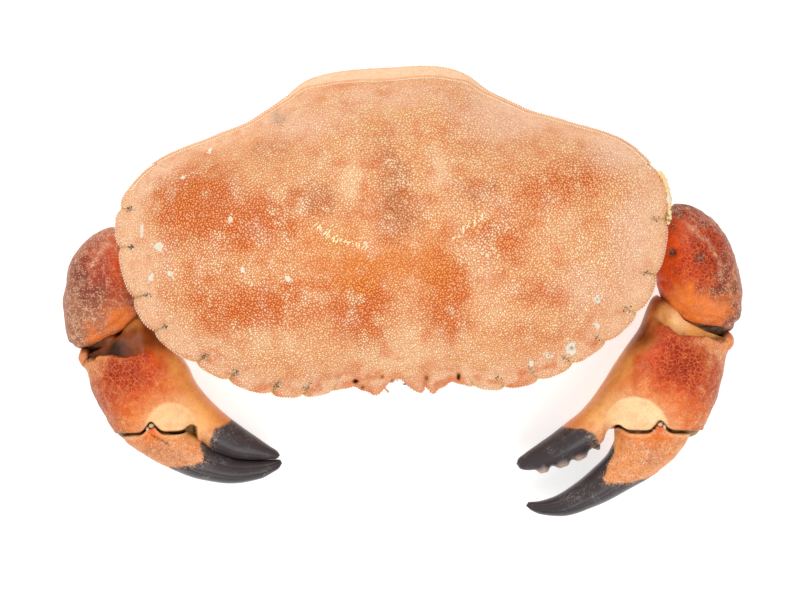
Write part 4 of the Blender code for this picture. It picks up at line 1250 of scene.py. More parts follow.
def shell_surface():
    """The whole shell: dome, rounded lip, fold under the rim, inner skirt and flat floor."""
    angle = shell_columns()
    rim = rim_shape(angle)
    direction = outwards(angle)
    part, spread = np.linspace(0.0, 1.0, DOME_RINGS)[1:], np.radians(DOME_SPREAD)
    dome_share = np.sin(part * spread) / np.sin(spread) * 0.99
    dome = shell_top(angle[None, :], dome_share[:, None])
    edge = rim.radius - rim.depth
    crimp = CRIMP * noise(np.column_stack([direction * 60, rim.top]), 1.1, 71)
    rings = [dome]

    def ring(reach, height):
        rings.append(np.column_stack([direction * reach[:, None], height])[None])

    for lift in LIP_LIFTS:
        ring(edge - LIP + LIP * np.sqrt(1 - lift ** 2) + crimp, rim.top - LIP + LIP * lift)
    for step in np.linspace(0.0, 1.0, FOLD_RINGS)[1:]:
        reach = (edge - LIP) * (1 - step) + rim.radius * UNDER_FOLD * step
        reach = reach + UNDER_BULGE * np.sin(np.pi * step)
        height = (rim.top - 2 * LIP) * (1 - step) + rim.fold * step
        for socket in SOCKETS:
            turn = np.degrees(np.arctan2(-socket[0], socket[1]))
            far = np.radians(np.mod(angle - turn + 180, 360) - 180) * reach
            reach = reach - SOCKET_DEPTH * bell(far, SOCKET_WIDTH) * bell(height - socket[2], SOCKET_WIDTH)
        reach = reach + 0.16 * np.sin(step * 26.0) * bell(step - 0.5, 0.5)
        ring(reach + 0.25 * noise(np.column_stack([direction * reach[:, None], height]), 2.2, 73), height)
    for step in (0.0, 0.35, 0.7, 1.0):
        inner = UNDER_FOLD - 0.012 - (UNDER_FOLD - SKIRT_INSIDE - 0.012) * step ** 0.7
        ring(rim.radius * inner, rim.fold + 0.4 + (SHELL_FLOOR - rim.fold - 0.4) * step)
    for share in (0.85, 0.6, 0.35, 0.12):
        ring(rim.radius * SKIRT_INSIDE * share, np.full(len(angle), SHELL_FLOOR))
    rings = np.concatenate(rings)
    poles = shell_top(np.array([0.0]), np.array([0.0]))[0], np.array((0.0, 0.0, SHELL_FLOOR))
    tones = bpy.context.scene.crab_shell
    ground, granular = shell_paint(np.broadcast_to(angle, dome.shape[:2]),
                                   np.broadcast_to(dome_share[:, None], dome.shape[:2]), dome)
    below = rings[len(dome_share):]
    level = np.broadcast_to(np.arange(len(below))[:, None] / 23.0, below.shape[:2])
    under = mix(tones.underside, ground[-1][None], 1 - ease(0.2, 0.5, level))
    under = mix(under, tones.rust, 0.5 * ease(0.0, 0.7, cloud(below, 5.0, 81)))
    under = mix(under, tones.crack, 0.2 * ease(0.3, 0.9, cloud(below, 1.6, 83)))
    granular = np.concatenate([granular, 0.8 * (1 - ease(0.1, 0.4, level))])
    tint = np.concatenate([ground, under]) * valley(granular)
    return skin(rings, *poles), with_poles(tint, len(angle)), with_poles(granular, len(angle))


def valley(granular):
    """How much darker the shell is between its granules, for each of red, green and blue."""
    return 1 - granular[..., None] * np.array(VALLEY)


def granule_places(spacing):
    """A six-way grid of places over the shell in plan, each a little out of line."""
    random = np.random.default_rng(7)
    x, y = np.meshgrid(np.arange(-84.0, 84.0, spacing), np.arange(-52.0, 53.0, spacing * 0.866))
    x[1::2] += spacing / 2
    x = x.ravel() + random.uniform(-GRAIN_WANDER, GRAIN_WANDER, x.size) * spacing
    y = y.ravel() + random.uniform(-GRAIN_WANDER, GRAIN_WANDER, y.size) * spacing
    angle, share = shell_place(x, y)
    rim = rim_shape(angle)
    room = rim.radius * (1 - share) - rim.depth - 0.4 - np.where(rim.folded < 76, rim.inset, 0.0)
    return angle[room > 0], share[room > 0], random


def evenly(first, last, spacing):
    """Angles from first to last whose places on the outline are the same distance apart."""
    fine = np.linspace(first, last, 4000)
    places = outwards(fine) * rim_shape(fine).radius[:, None]
    run = np.concatenate([[0.0], np.cumsum(np.hypot(*np.diff(places, axis=0).T))])
    return np.interp(np.arange(0.0, run[-1], spacing), run, fine)


def grain_tint(ground, granular, sides=6):
    """Colours for granules: lighter than the shell's mean, and most of all at the tip."""
    strength = granular[..., None]
    tips = ground * (1 + strength * np.array(GRAIN_TIP))
    skirts = ground * (1 + strength * np.array(GRAIN_SKIRT))
    return bead_tint(tips, skirts, sides)


class CRAB_OT_shell(bpy.types.Operator):
    """Builds the domed top shell with its pie-crust edge"""
    bl_idname = "crab.shell"
    bl_label = "Top shell"

    def execute(self, context):
        surface, tint, granular = shell_surface()
        add_piece("top_shell", surface, finish("shell"), ("shell",), tint, {"granular": granular})
        return {"FINISHED"}


class CRAB_OT_granules(bpy.types.Operator):
    """Builds the pale granules that cover the shell, and the beads along its ridge and lip"""
    bl_idname = "crab.granules"
    bl_label = "Shell granules"

    def execute(self, context):
        sizes = context.scene.crab_shell
        angle, share, random = granule_places(sizes.granule_spacing)
        places, normals = shell_top(angle, share), shell_top_normal(angle, share)
        ground, granular = shell_paint(angle, share, places)
        big = (0.6 + 0.4 * granular) * random.uniform(0.75, 1.15, len(angle)) * ease(0.0, 0.2, granular)
        kept = big > 0.3
        places, normals, ground, granular, big = (
            values[kept] for values in (places, normals, ground, granular, big))
        ground = ground * random.uniform(0.88, 1.12, (len(ground), 1))
        for side, word in SIDES:
            here = places[:, 0] * side > 0
            surface = beads(places[here], normals[here], sizes.granule_radius * big[here],
                            sizes.granule_height * big[here])
            add_piece(f"shell_granules_{word}", surface, finish("granule"), (),
                      grain_tint(ground[here], granular[here]))
        self.rim(sizes, random)
        return {"FINISHED"}

    def rim(self, sizes, random):
        """Rows of beads on the rear ridge and round the lip, and the dashes of the muscle scars."""
        rows = []
        for first, last in RIDGE_SPANS:
            for offset, size, spacing in RIDGE_BEADS:
                line = evenly(first, last, spacing)
                rim = rim_shape(line)
                rows.append((line, 1 - (rim.inset + offset) / rim.radius, np.full(len(line), size)))
        for scar in MUSCLE_SCARS:
            middle = np.linspace(scar[:2], scar[2:], SCAR_DASHES)
            middle = middle + random.normal(0.0, 0.35, middle.shape)
            lean = random.normal(0.0, 0.5, len(middle))
            half = random.uniform(0.3, 0.7, (len(middle), 1))
            dash = np.column_stack([np.sin(0.5 + lean), np.cos(0.5 + lean)]) * half
            middle = middle[:, None] + np.linspace(-1, 1, 3)[None, :, None] * dash[:, None]
            angle, share = shell_place(*middle.reshape(-1, 2).T)
            rows.append((angle, share, np.full(len(angle), SCAR_BEAD)))
        angle, share, size = (np.concatenate(column) for column in zip(*rows))
        size = size * random.uniform(0.8, 1.2, len(size))
        places, normals = shell_top(angle, share), shell_top_normal(angle, share)
        ground = shell_paint(angle, share, places)[0]
        ground = mix(ground, sizes.granule, 0.5 + 0 * size)
        lips = []
        for lift, shift in LIP_ROWS:
            line = evenly(0.0, 360.0, LIP_SPACING) + shift
            rim = rim_shape(np.mod(line, 360.0))
            out = np.array((np.cos(np.radians(lift)), np.sin(np.radians(lift))))
            away = outwards(line)
            normal = np.column_stack([away * out[0], np.full(len(line), out[1])])
            middle = np.column_stack([away * (rim.radius - rim.depth - LIP)[:, None], rim.top - LIP])
            tone = shell_paint(np.mod(line, 360.0), np.full(len(line), 0.985), middle)[0]
            lips.append((middle + normal * LIP, normal, np.full(len(line), LIP_BEAD), tone))
        at_lip = [np.concatenate(column) for column in zip(*lips)]
        places, normals, size, ground = (
            np.concatenate(pair) for pair in zip((places, normals, size, ground), at_lip))
        surface = beads(places, normals, size, size * 0.8)
        add_piece("rim_beads", surface, finish("granule"), (),
                  grain_tint(ground, np.full(len(ground), 0.75)))


def chalk_spot(x, y, radius, stretch, seed):
    """A low chalky disc with a ragged outline and a raised ring, pressed on to the shell."""
    turn = turns(30)
    circle = np.column_stack([np.cos(turn), np.sin(turn), turn * 0 + seed])
    ragged = 1 + 0.3 * noise(circle, 0.7, seed) + 0.28 * noise(circle, 0.3, seed + 1)
    rings = []
    for share, height in SPOT_PROFILE:
        reach = radius * share * (1 + (ragged - 1) * share)
        angle, share_out = shell_place(x + np.cos(turn) * reach, y + np.sin(turn) * reach * stretch)
        share_out = np.minimum(share_out, 0.985)
        rough = height * min(radius, 1.2) * (1 + 0.5 * noise(circle * (2 + share), 0.5, seed + 2))
        rings.append(shell_top(angle, share_out) + shell_top_normal(angle, share_out) * rough[:, None])
    rings = np.array(rings)
    middle = rings[0].mean(axis=0)
    return skin(rings, middle - (0, 0, 0.05), rings[-1].mean(axis=0) - (0, 0, 0.2))


class CRAB_OT_crusts(bpy.types.Operator):
    """Builds the chalky spots, the sand in the sutures and the crust of tubes on the edge"""
    bl_idname = "crab.crusts"
    bl_label = "Crusts and sand"

    def execute(self, context):
        tones = context.scene.crab_shell
        random = np.random.default_rng(21)
        parts, tints = [], []
        spots = [(*spot, number) for number, spot in enumerate(CHALK_SPOTS)]
        for x, y, radius, stretch in CHALK_SPOTS:
            for turn in random.uniform(0, 2 * np.pi, 3 if radius > 0.6 and stretch < 2 else 0):
                away = radius * random.uniform(1.2, 1.7)
                spots.append((x + np.cos(turn) * away, y + np.sin(turn) * away * stretch,
                              random.uniform(0.18, 0.36), 1.0, len(spots)))
        for x, y, radius, stretch, number in spots:
            part = chalk_spot(x, y, radius, stretch, number + 5)
            tone = mix(tones.chalk, tones.peach, 0.35 * ease(0.0, 0.8, noise(part[0], 0.8, number)))
            # Painted shadow: the bigger spots on the right get a dark centre standing for the shade in a
            # hole.
            if radius > 0.74 and x > 40:
                away = np.hypot(part[0][:, 0] - x - 0.2, part[0][:, 1] - y + 0.1)
                tone = mix(tone, tones.crack, 0.85 * bell(away, radius * 0.33))
            parts.append(part)
            tints.append(tone)
        add_piece("chalk_spots", joined(parts), finish("chalk"), (), np.concatenate(tints))

        grains = []
        for x, y, count in sand_places():
            outward_x, outward_y = np.array((x, y)) / np.hypot(x, y)
            run = random.normal(0.0, 0.25, count) * SAND_LENGTH
            wide = random.normal(0.0, 0.42, count)
            grains.append(np.column_stack([x + outward_x * run - outward_y * wide,
                                           y + outward_y * run + outward_x * wide]))
        grains = np.concatenate(grains)
        angle, share = shell_place(grains[:, 0], grains[:, 1])
        rim = rim_shape(angle)
        keep = rim.radius * (1 - share) - rim.depth > 0.15
        angle, share = angle[keep], share[keep]
        size = random.uniform(0.15, 0.33, len(angle))
        surface = beads(shell_top(angle, share), shell_top_normal(angle, share), size, size * 0.8, 5)
        darkness = random.uniform(0, 1, len(angle))
        tone = mix(tones.sand, tones.crack, darkness)
        tone = mix(tone, tones.pale, (darkness > 0.72) * 0.8)
        add_piece("suture_sand", surface, finish("chalk"), (), bead_tint(tone, tone * 0.85, 5))

        parts, tints = [], []
        crusted = np.linspace(*CRUST_ANGLES, len(CRUST_RADII))
        for number, (turn, radius) in enumerate(zip(crusted, CRUST_RADII)):
            rim = rim_shape(turn)
            middle = (*outwards(turn) * rim.radius, rim.top + 1.3 - 0.22 * number)
            part = lump(middle, (radius * 0.75, radius, radius * 0.8), 9, 14, 0.35, number + 3)
            white = 1.0 if number in WHITE_TUBES else 0.35
            tone = mix(tones.yellow, tones.chalk, white * ease(-0.5, 0.4, noise(part[0], 0.9, 33)))
            green = 0.8 if number in GREEN_TUBES else 0.15
            tone = mix(tone, tones.sand, green * ease(-0.1, 0.5, noise(part[0], 0.7, 35)))
            parts.append(part)
            tints.append(tone)
        add_piece("edge_crust", joined(parts), finish("chalk"), (), np.concatenate(tints))
        return {"FINISHED"}


# ---------------------------------------------------------------- face

class CRAB_OT_face(bpy.types.Operator):
    """Builds the eyes on their stalks, the feelers, the frayed front skin and the mouth plates"""
    bl_idname = "crab.face"
    bl_label = "Eyes, feelers and mouth"

    def execute(self, context):
        tones = context.scene.crab_belly
        shell = context.scene.crab_shell
        random = np.random.default_rng(5)
        for (side, word), (x, y, z) in zip(SIDES, SOCKETS):
            part = lump((x, y, z), (EYE, EYE * 0.95, EYE), 15, 22)
            add_piece(f"eye_ball_{word}", part, finish("eye"), (f"eye_{word}",))
            root = np.array((x * 0.72, y * 0.90, z - 0.6))
            share = np.linspace(0, 1, 9)[:, None]
            path = root + (np.array((x, y + 0.7, z)) - root) * share
            stalk = rod(path, 1.25 + 0.25 * np.sin(share[:, 0] * np.pi * 2.2), 14)
            tint = mix(tones.cream, tones.stain, ease(-0.4, 0.5, noise(stalk[0], 1.5, 9)))
            add_piece(f"eye_stalk_{word}", stalk, finish("belly"), (), tint)

        parts, tints = [], []
        for side, _ in SIDES:
            start = np.array((FEELER_ROOT[0] + side * FEELERS_APART, *FEELER_ROOT[1:]))
            bend = start + np.array((side * 1.2, -2.2, 2.2))
            tip = bend + np.array((side * 3.0, -0.4, -1.2))
            for one, two, thick in zip((start, bend), (bend, tip), FEELER_RADII):
                share = np.linspace(0, 1, 12)[:, None]
                rings = thick * (1 + 0.18 * np.sin(share[:, 0] * 40))
                parts.append(rod(one + (two - one) * share, rings, 8))
        stick = np.linspace(0, 1, 10)[:, None]
        parts.append(rod(np.array((-5.0, -46.1, 29.4)) + np.array((1.7, -1.9, 0.3)) * stick,
                         0.30 + 0.06 * np.sin(stick[:, 0] * 9), 8))
        parts.append(rod(np.array((-5.6, -46.9, 29.8)) + np.array((2.4, 2.9, 0.2)) * stick,
                         0.16 + 0.05 * np.sin(stick[:, 0] * 11), 7))
        parts.append(rod(np.array((0.9, -45.7, 28.4)) + np.array((1.3, -0.2, 0.0)) * stick,
                         0.22 * np.sin(np.pi * (stick[:, 0] * 0.8 + 0.1)), 7))
        for part, tone in zip(parts, (tones.stain,) * 4 + (tones.cream, shell.crack, shell.crack)):
            tints.append(np.full(part[0].shape, tone, float))
        add_piece("feelers", joined(parts), finish("hair"), (), np.concatenate(tints))

        count = BRISTLES["front"]
        x = random.uniform(-5.2, 4.2, count)
        root = np.column_stack([x, -43.4 - 0.12 * np.abs(x) + random.normal(0, 0.35, count),
                                random.uniform(27.0, 30.0, count)])
        lean = np.column_stack([random.normal(0, 0.7, count), random.uniform(-2.2, -0.6, count),
                                random.normal(0, 0.4, count)])
        surface = bristles(root, root + lean, BRISTLE_RADIUS["front"])
        shade = np.repeat(random.uniform(0, 1, count), 4)
        tint = mix(shell.chalk, shell.yellow, shade)
        tint = mix(tint, shell.sand, (shade > 0.8) * 0.8)
        add_piece("front_fringe", surface, finish("hair"), (), tint)

        for side, word in SIDES:
            centre = (side * MOUTH_PLACE[0], *MOUTH_PLACE[1:])
            part = lump(centre, MOUTH_HALF, 40, 56)
            points = part[0]
            across = (points[:, 0] - centre[0]) * side
            upper = points[:, 2] - centre[2]
            joint = bell(upper - 1.6 - 0.15 * across, 0.28) + bell(across - 2.9, 0.25) * (upper > -5)
            front = ease(0.0, 1.2, centre[1] - points[:, 1])
            points[:, 1] += 0.5 * joint * front - 0.25 * front * bell(across + 1.0, 1.4)
            stained = 0.8 * joint * front + 0.3 * ease(0, 0.8, cloud(points, 3, 5))
            tint = mix(tones.cream, tones.stain, stained)
            add_piece(f"mouth_cover_{word}", part, finish("belly"), (f"mouth_plate_{word}",), tint)
        return {"FINISHED"}


# ---------------------------------------------------------------- claws

def claw_skin(name, piece, rings, tint, masks):
    """A claw piece from its displaced rings and its painted grids."""
    columns = rings.shape[1]
    flat = {label: with_poles(values, columns) for label, values in masks.items()}
    add_piece(name, skin(grounded(rings), *piece.ends), finish("claw"),
              (f"claw_{name}",),
              with_poles(tint, columns), flat)


def past(piece, border):
    """Millimetres along a claw piece beyond a border that crosses it."""
    start = np.interp(along(border, piece.side), np.arange(len(piece.marks)), piece.marks)
    return piece.run[:, None] - start[None, :]


def hinge_edge(run, word):
    """x and y of the straight line of a finger's hinge, and y of the palm's edge that arches on it.

    run is the distance along it from its outer knuckle.
    """
    start, end = np.array(HINGE[word], float)
    length = abs(end[0] - start[0])
    arches = (PEG_ARCH, (length - FORK_ARCH[0], FORK_ARCH[1]))
    x = start[0] + (end[0] - start[0]) * run / length
    y = start[1] + (end[1] - start[1]) * run / length
    return x, y, y + sum(height * bell(run - place, ARCH_WIDTH) for place, height in arches)


def hinge(x, y, word):
    """How far each point is past the palm's edge, inside the finger's socket and inside the cap."""
    start, end = np.array(HINGE[word], float)
    run = (x - start[0]) * np.sign(end[0] - start[0])
    _, line, edge = hinge_edge(run, word)
    place, half, height = CAP[word]
    cap = height * (1 - np.hypot((run - place) / half, (line - y) / height))
    return edge - y, np.minimum(edge - y, abs(end[0] - start[0]) - run) - SOCKET_GAP, cap


def rough_skin(rings, amount, seed):
    """Pushes rings out along their normals by soft lumps and small pimples."""
    height = sum(rise * noise(rings, size, seed + order) for order, (rise, size) in enumerate(LUMPS))
    height = height + PIMPLES[0] * ease(0.25, 0.7, noise(rings, PIMPLES[1], seed + len(LUMPS)))
    return rings + ring_normals(rings) * (height * amount)[..., None]


def upper(rings):
    """1 on the top side of rings, 0 on the underside."""
    middle = (rings[..., 2].max(axis=1) + rings[..., 2].min(axis=1))[:, None] / 2
    half = (rings[..., 2].max(axis=1) - rings[..., 2].min(axis=1))[:, None] / 2 + 1e-6
    return ease(-0.2, 0.35, (rings[..., 2] - middle) / half)


def underside_tint(tones, rings, tint):
    """Lays the pale underside over a claw piece's colours."""
    pale = mix(tones.cream, tones.tan, 0.5 + 0.5 * cloud(rings, 5.0, 91))
    return mix(tint, pale, (1 - upper(rings)) * 0.85)


def build_wrist(word, tones):
    """The wrist: bright orange beside the shell, then red, then a greyish speckled outer side.

    Its far edge, the inner one of its ladder, is a flange with a rim and a groove.
    """
    piece = ladder(WRIST[word], "wrist")
    flat, seed = piece.rings, 100 if word == "left" else 130
    x, y, top = flat[..., 0], flat[..., 1], upper(flat)
    fine, broad = cloud(flat, 2.2, seed + 7), cloud(flat, 7.0, seed + 5)
    from_lip = line_distance(x, y, [row[:2] for row in WRIST[word][2:]])
    crust = bell(10 * (piece.side[None, :] - WRIST_CRUST) + 0.8 * fine, 0.8) * ease(-0.5, 0.25, fine) * top
    crust = crust * (ease(1.0, 1.5, piece.section) * (1 - ease(3.8, 4.5, piece.section)))[:, None]
    push = 0.3 * bell(from_lip - 1.2, 0.9) - 0.35 * bell(from_lip - 2.6, 0.6)
    tint, veined, specked = claw_paint(piece, f"wrist_{word}", seed)
    tint = mix(tint, tones.speck, 0.25 * crust)
    for pit_x, pit_y, width in WRIST_PITS[word]:
        far = np.hypot(x - pit_x, y - pit_y)
        push = push - 0.9 * bell(far, width * 0.7)
        tint = mix(tint, tones.black, np.minimum(1.3 * bell(far, width * 0.8), 1.0) * top)
        tint = mix(tint, tones.scuff, 0.6 * bell(far, width * 0.25) * top)
    rings = rough_skin(flat, 0.9, seed) + ring_normals(flat) * (push * top + 0.2 * crust)[..., None]
    # Painted shade: an umber band along the flange's far edge, where it overhangs the joint.
    tint = mix(tint, tones.umber, 0.8 * bell(from_lip - 0.1, 0.5) * top)
    masks = {"veined": veined * top, "specked": np.maximum(specked, crust) * top,
             "black": 0 * x, "gloss": 0.3 + 0.2 * broad - 0.2 * specked}
    claw_skin(f"wrist_{word}", piece, rings, underside_tint(tones, flat, tint), masks)


def build_palm(word, tones):
    """The palm with its fixed finger: a red veined back, a tan inner side and a black end.

    Its plate stands above the bare neck at the wrist, and ends in a curved edge over the hinge.
    """
    piece = ladder(PALM[word], "palm")
    flat, seed = piece.rings, 200 if word == "left" else 230
    x, y, top = flat[..., 0], flat[..., 1], upper(flat)
    fine, broad = cloud(flat, 2.0, seed + 5), cloud(flat, 7.0, seed + 7)
    neck, black = 0.5 * fine - past(piece, NECK[word]), past(piece, BLACK[f"palm_{word}"]) + 0.5 * fine
    _, socket, cap = hinge(x, y, word)
    inner_side = line_distance(x, y, [row[:2] for row in PALM[word][1:]])
    flank = 1 - ease(*FLANK, inner_side + 1.5 * broad)
    smoothness = np.max([ease(-0.3, 0.6, cap), ease(-0.5, 1.0, black), flank], axis=0)
    stepped = ease(*PLATE_STEP, np.abs(x))
    sunk_neck = ease(-0.15, 0.5, neck) * ease(0.15, 0.7, top) * (1 - 0.9 * (1 - ease(1.0, 5.0, inner_side)))
    sunk_socket = ease(-0.1, 0.45, socket) * top
    lip = (bell(neck + 0.5, 0.5) * stepped + bell(socket + 0.55, 0.5)) * top
    push = 0.28 * lip - PLATE_HEIGHT * sunk_neck * stepped - SOCKET_SUNK * sunk_socket
    push = push + 0.18 * bell(cap - 0.3, 0.5) * top
    tint, veined, specked = claw_paint(piece, f"palm_{word}", seed)
    tint = mix(tint, tones.cream, 0.3 * bell(np.minimum(cap, 0.0), 3.4) * (1 - veined))
    whole = ease(*CAP_START, np.abs(x) + 0.8 * fine)
    capped = ease(-0.25, 0.3, cap + 0.15 * fine) * (0.2 + 0.8 * whole)
    tint = mix(tint, mix(tones.cream, tones.tan, 0.35 if word == "left" else 0.0), capped)
    bare = ease(-0.2 - 2.0 * (1 - stepped), 0.3 + 2.0 * (1 - stepped), neck)
    tint = mix(tint, claw_paint(piece, f"neck_{word}", seed + 40)[0], bare)
    # Painted shade: an umber band on the step where the plate drops to the bare neck.
    tint = mix(tint, tones.umber, 0.75 * bell(neck + 0.1, 0.3) * top * stepped)
    blackened = ease(-0.5, 0.5, black + 0.3 * fine)
    tint = mix(tint, tones.black, blackened)
    border = bell(black - 0.6, 1.6) * (1 - 0.7 * flank)
    # The sunk socket is painted dark and olive: partly the hinge's own skin, partly painted shade in the
    # gap.
    sunk = ease(-0.05, 0.15, socket) * ease(0.0, 0.2, top)
    tint = mix(tint, mix(tones.dark, tones.olive, ease(-0.4, 0.3, fine)), sunk)
    # Painted shade: an umber band down the palm's edge above the socket.
    tint = mix(tint, tones.umber, 0.8 * bell(socket + 0.15, 0.2) * top)
    rows = np.array(PALM[word])
    for section, size in TEETH if word == "right" else ():
        tooth_x, tooth_y, low, high = (
            np.interp(section, range(len(rows)), rows[:, at]) for at in (2, 3, 4, 5))
        rise = (flat[..., 2] - (low + high) / 2) * 0.6
        far = np.sqrt((x - tooth_x) ** 2 + (y - tooth_y) ** 2 + rise ** 2)
        push = push + TOOTH_RISE * ease(0.1, 0.8, bell(far, size * 0.85))
        worn = ease(0.35, 0.8, bell(far, size) + 0.12 * fine)
        tint = mix(tint, tones.tooth, 0.9 * worn)
        blackened = blackened * (1 - 0.8 * worn)
    rings = rough_skin(flat, 0.9 - 0.75 * smoothness, seed) + ring_normals(flat) * push[..., None]
    tint = mix(tint, tones.cream, (1 - top) * (1 - blackened) * 0.36)
    shown = (1 - bare) * (1 - sunk) * (1 - capped)
    masks = {"veined": veined * (1 - blackened) * top * shown, "black": blackened,
             "specked": np.clip(specked * (1 - blackened) * (1 - flank) + 0.7 * border, 0, 1) * shown,
             "gloss": np.clip(0.3 + 0.6 * smoothness - 0.4 * bare, 0, 1) * (1 - sunk)}
    claw_skin(f"palm_{word}", piece, rings, tint, masks)


def build_finger(word, tones):
    """The moving finger: orange and speckled at its root, black and polished at its end."""
    piece = ladder(FINGER[word], "finger")
    flat, seed = piece.rings, 300 if word == "left" else 330
    x, y, top = flat[..., 0], flat[..., 1], upper(flat)
    fine = cloud(flat, 1.8, seed + 5)
    plate = hinge(x, y, word)[0] - HINGE_GAP + 0.35
    black = past(piece, BLACK[f"finger_{word}"]) + 0.5 * fine
    polished = ease(-0.5, 1.5, black)
    buried = (1 - ease(-0.3, 0.25, plate)) * top
    grooves = (bell(piece.side - 0.45, 0.07) + 0.8 * bell(piece.side + 0.35, 0.08))[None, :]
    push = 0.25 * bell(plate - 0.5, 0.5) * top - 1.0 * buried - 0.28 * grooves * polished * top
    rings = rough_skin(flat, 0.7 - 0.6 * polished, seed) + ring_normals(flat) * push[..., None]
    tint, veined, specked = claw_paint(piece, f"finger_{word}", seed)
    if word == "left":
        tint = mix(tint, tones.dark, 0.85 * bell(line_distance(x + 0.3 * fine, y, FINGER_CRACK), 0.28) * top)
    tint = mix(tint, tones.cream, 0.4 * bell(plate - 0.7, 0.6) * top)
    border, blackened = bell(black, 2.0), ease(-0.6, 0.6, black + 0.7 * fine)
    tint = mix(tint, tones.black, blackened)
    # The finger's root in the socket is painted dark and olive: partly the hinge's own skin, partly painted
    # shade in the gap.
    gap_skin_and_shade = (1 - ease(-0.12, 0.1, plate)) * ease(0.0, 0.2, top)
    tint = mix(tint, mix(tones.dark, tones.olive, ease(-0.4, 0.3, fine)), gap_skin_and_shade)
    tint = mix(tint, tones.cream, (1 - top) * (1 - blackened) * 0.4)
    masks = {"veined": veined * (1 - blackened), "black": blackened,
             "specked": np.clip(specked * (1 - blackened) + 0.8 * border, 0, 1) * (1 - gap_skin_and_shade),
             "gloss": np.clip(0.3 + 0.65 * polished - 0.3 * border, 0, 1) * (1 - gap_skin_and_shade)}
    claw_skin(f"finger_{word}", piece, rings, tint, masks)


def build_arm(side, word, tones):
    """The arm under the shell: red brown above, paler below, with a knuckle at each end."""
    piece = ladder([(side * row[0], row[1], side * row[2], *row[3:]) for row in ARM], "arm")
    flat = piece.rings
    knuckle = bell(piece.share - 0.14, 0.05) + bell(piece.share - 0.86, 0.05)
    groove = bell(piece.share - 0.2, 0.02) + bell(piece.share - 0.8, 0.02)
    push = (0.3 * knuckle - 0.6 * groove)[:, None, None]
    tint, veined, specked = claw_paint(piece, "arm", 411)
    tint = mix(tint, tones.dark, 0.6 * groove[:, None] + 0 * veined)
    masks = {"veined": veined * upper(flat), "specked": specked, "black": 0 * veined,
             "gloss": 0.4 + 0 * veined}
    claw_skin(f"arm_{word}", piece, rough_skin(flat, 0.9, 400 + side) + ring_normals(flat) * push,
              underside_tint(tones, flat, tint), masks)


def claw_lumps(name, parts, tints, veined, specked, gloss):
    """Adds rounded claw pieces, with the same veins, specks and gloss all over."""
    count = sum(len(points) for points, _ in parts)
    masks = {"veined": veined, "specked": specked, "black": 0.0, "gloss": gloss}
    masks = {label: np.full(count, value) for label, value in masks.items()}
    add_piece(name, joined(parts), finish("claw"), (), np.concatenate(tints), masks)


class CRAB_OT_claws(bpy.types.Operator):
    """Builds both claws: arm, wrist, palm with its fixed finger, and moving finger"""
    bl_idname = "crab.claws"
    bl_label = "Claws"

    def execute(self, context):
        tones = context.scene.crab_claw
        for side, word in SIDES:
            build_arm(side, word, tones)
            build_wrist(word, tones)
            build_palm(word, tones)
            build_finger(word, tones)
        return {"FINISHED"}


class CRAB_OT_claw_joints(bpy.types.Operator):
    """Builds the knobs and skins of the wrist joints, and the pegs and bristles of the hinges"""
    bl_idname = "crab.claw_joints"
    bl_label = "Claw joints"

    def execute(self, context):
        tones, belly = context.scene.crab_claw, context.scene.crab_belly
        random = np.random.default_rng(17)
        for side, word in SIDES:
            knob = lump(*KNOBS[word], 24, 32, 0.07, 3)
            tint = mix(tones.orange, tones.peach, 0.5 + 0.5 * cloud(knob[0], 2.5, 19))
            claw_lumps(f"wrist_knob_{word}", [knob], [tint], 0.1, 0.6, 0.35)
            skin_fold = lump(*MEMBRANES[word], 30, 40, 0.2, 3)
            inward = 2.0 * cloud(skin_fold[0], 2.0, 21) - np.abs(skin_fold[0][:, 0])
            inward = ease(*MEMBRANE_FADE, inward)
            # Dark at the outer end: the skin's own colour, with painted shade of the slit under the wrist.
            tint = mix(tones.dark, tones.umber if side < 0 else tones.tan, 0.9 * inward)
            claw_lumps(f"wrist_membrane_{word}", [skin_fold], [tint], 0.0, 0.1, 0.4)
            x, _, y = hinge_edge(PEG_ARCH[0], word)
            z = PEG_HEIGHT[word]
            parts = [lump((x, y - 1.3, z), (0.8, 0.7, 1.0), 10, 16, 0.12, 5),
                     lump((x + side * 1.2, y - 2.3, z - 0.4), (0.5, 0.8, 0.9), 10, 14, 0.12, 6)]
            tints = [mix(tones.cream, tones.tooth, 0.5 + 0.5 * noise(part[0], 0.8, 23)) for part in parts]
            claw_lumps(f"hinge_peg_{word}", parts, tints, 0.0, 0.3, 0.6)

            length = abs(HINGE[word][1][0] - HINGE[word][0][0])
            x, _, y = hinge_edge(random.uniform(2.0, length - 2.0, BRISTLES["hinge"]), word)
            height = np.interp(side * x, *zip(*HINGE_HEIGHT))
            root = np.column_stack([x, y + random.normal(0, 0.12, len(x)),
                                    height + random.uniform(-0.6, 0.1, len(x))])
            lean = np.column_stack([random.normal(0, 0.4, len(x)), random.uniform(-0.9, -0.1, len(x)),
                                    random.uniform(0.1, 0.7, len(x))])
            tint = mix(belly.hair, tones.dark, np.repeat(random.uniform(0, 0.9, len(x)), 4))
            surface = bristles(root, root + lean, BRISTLE_RADIUS["hinge"])
            add_piece(f"hinge_bristles_{word}", surface, finish("hair"), (), tint)
        return {"FINISHED"}


# ---------------------------------------------------------------- legs

def limb_rows(start, end, half_start, half_end, height):
    """A ladder for one leg piece: a rounded bar from start to end in plan."""
    start, end = np.array(start, float), np.array(end, float)
    ahead = (end - start) / np.linalg.norm(end - start)
    across = np.array([-ahead[1], ahead[0]])
    rows = []
    for share, size in LIMB_PROFILE:
        half = np.array(half_start) * (1 - share) + np.array(half_end) * share
        point = start + (end - start) * share
        reach = across * half[0] * size
        middle = height[0] * (1 - share) + height[1] * share
        rows.append((*(point - reach), *(point + reach), middle - half[1] * size, middle + half[1] * size))
    return rows


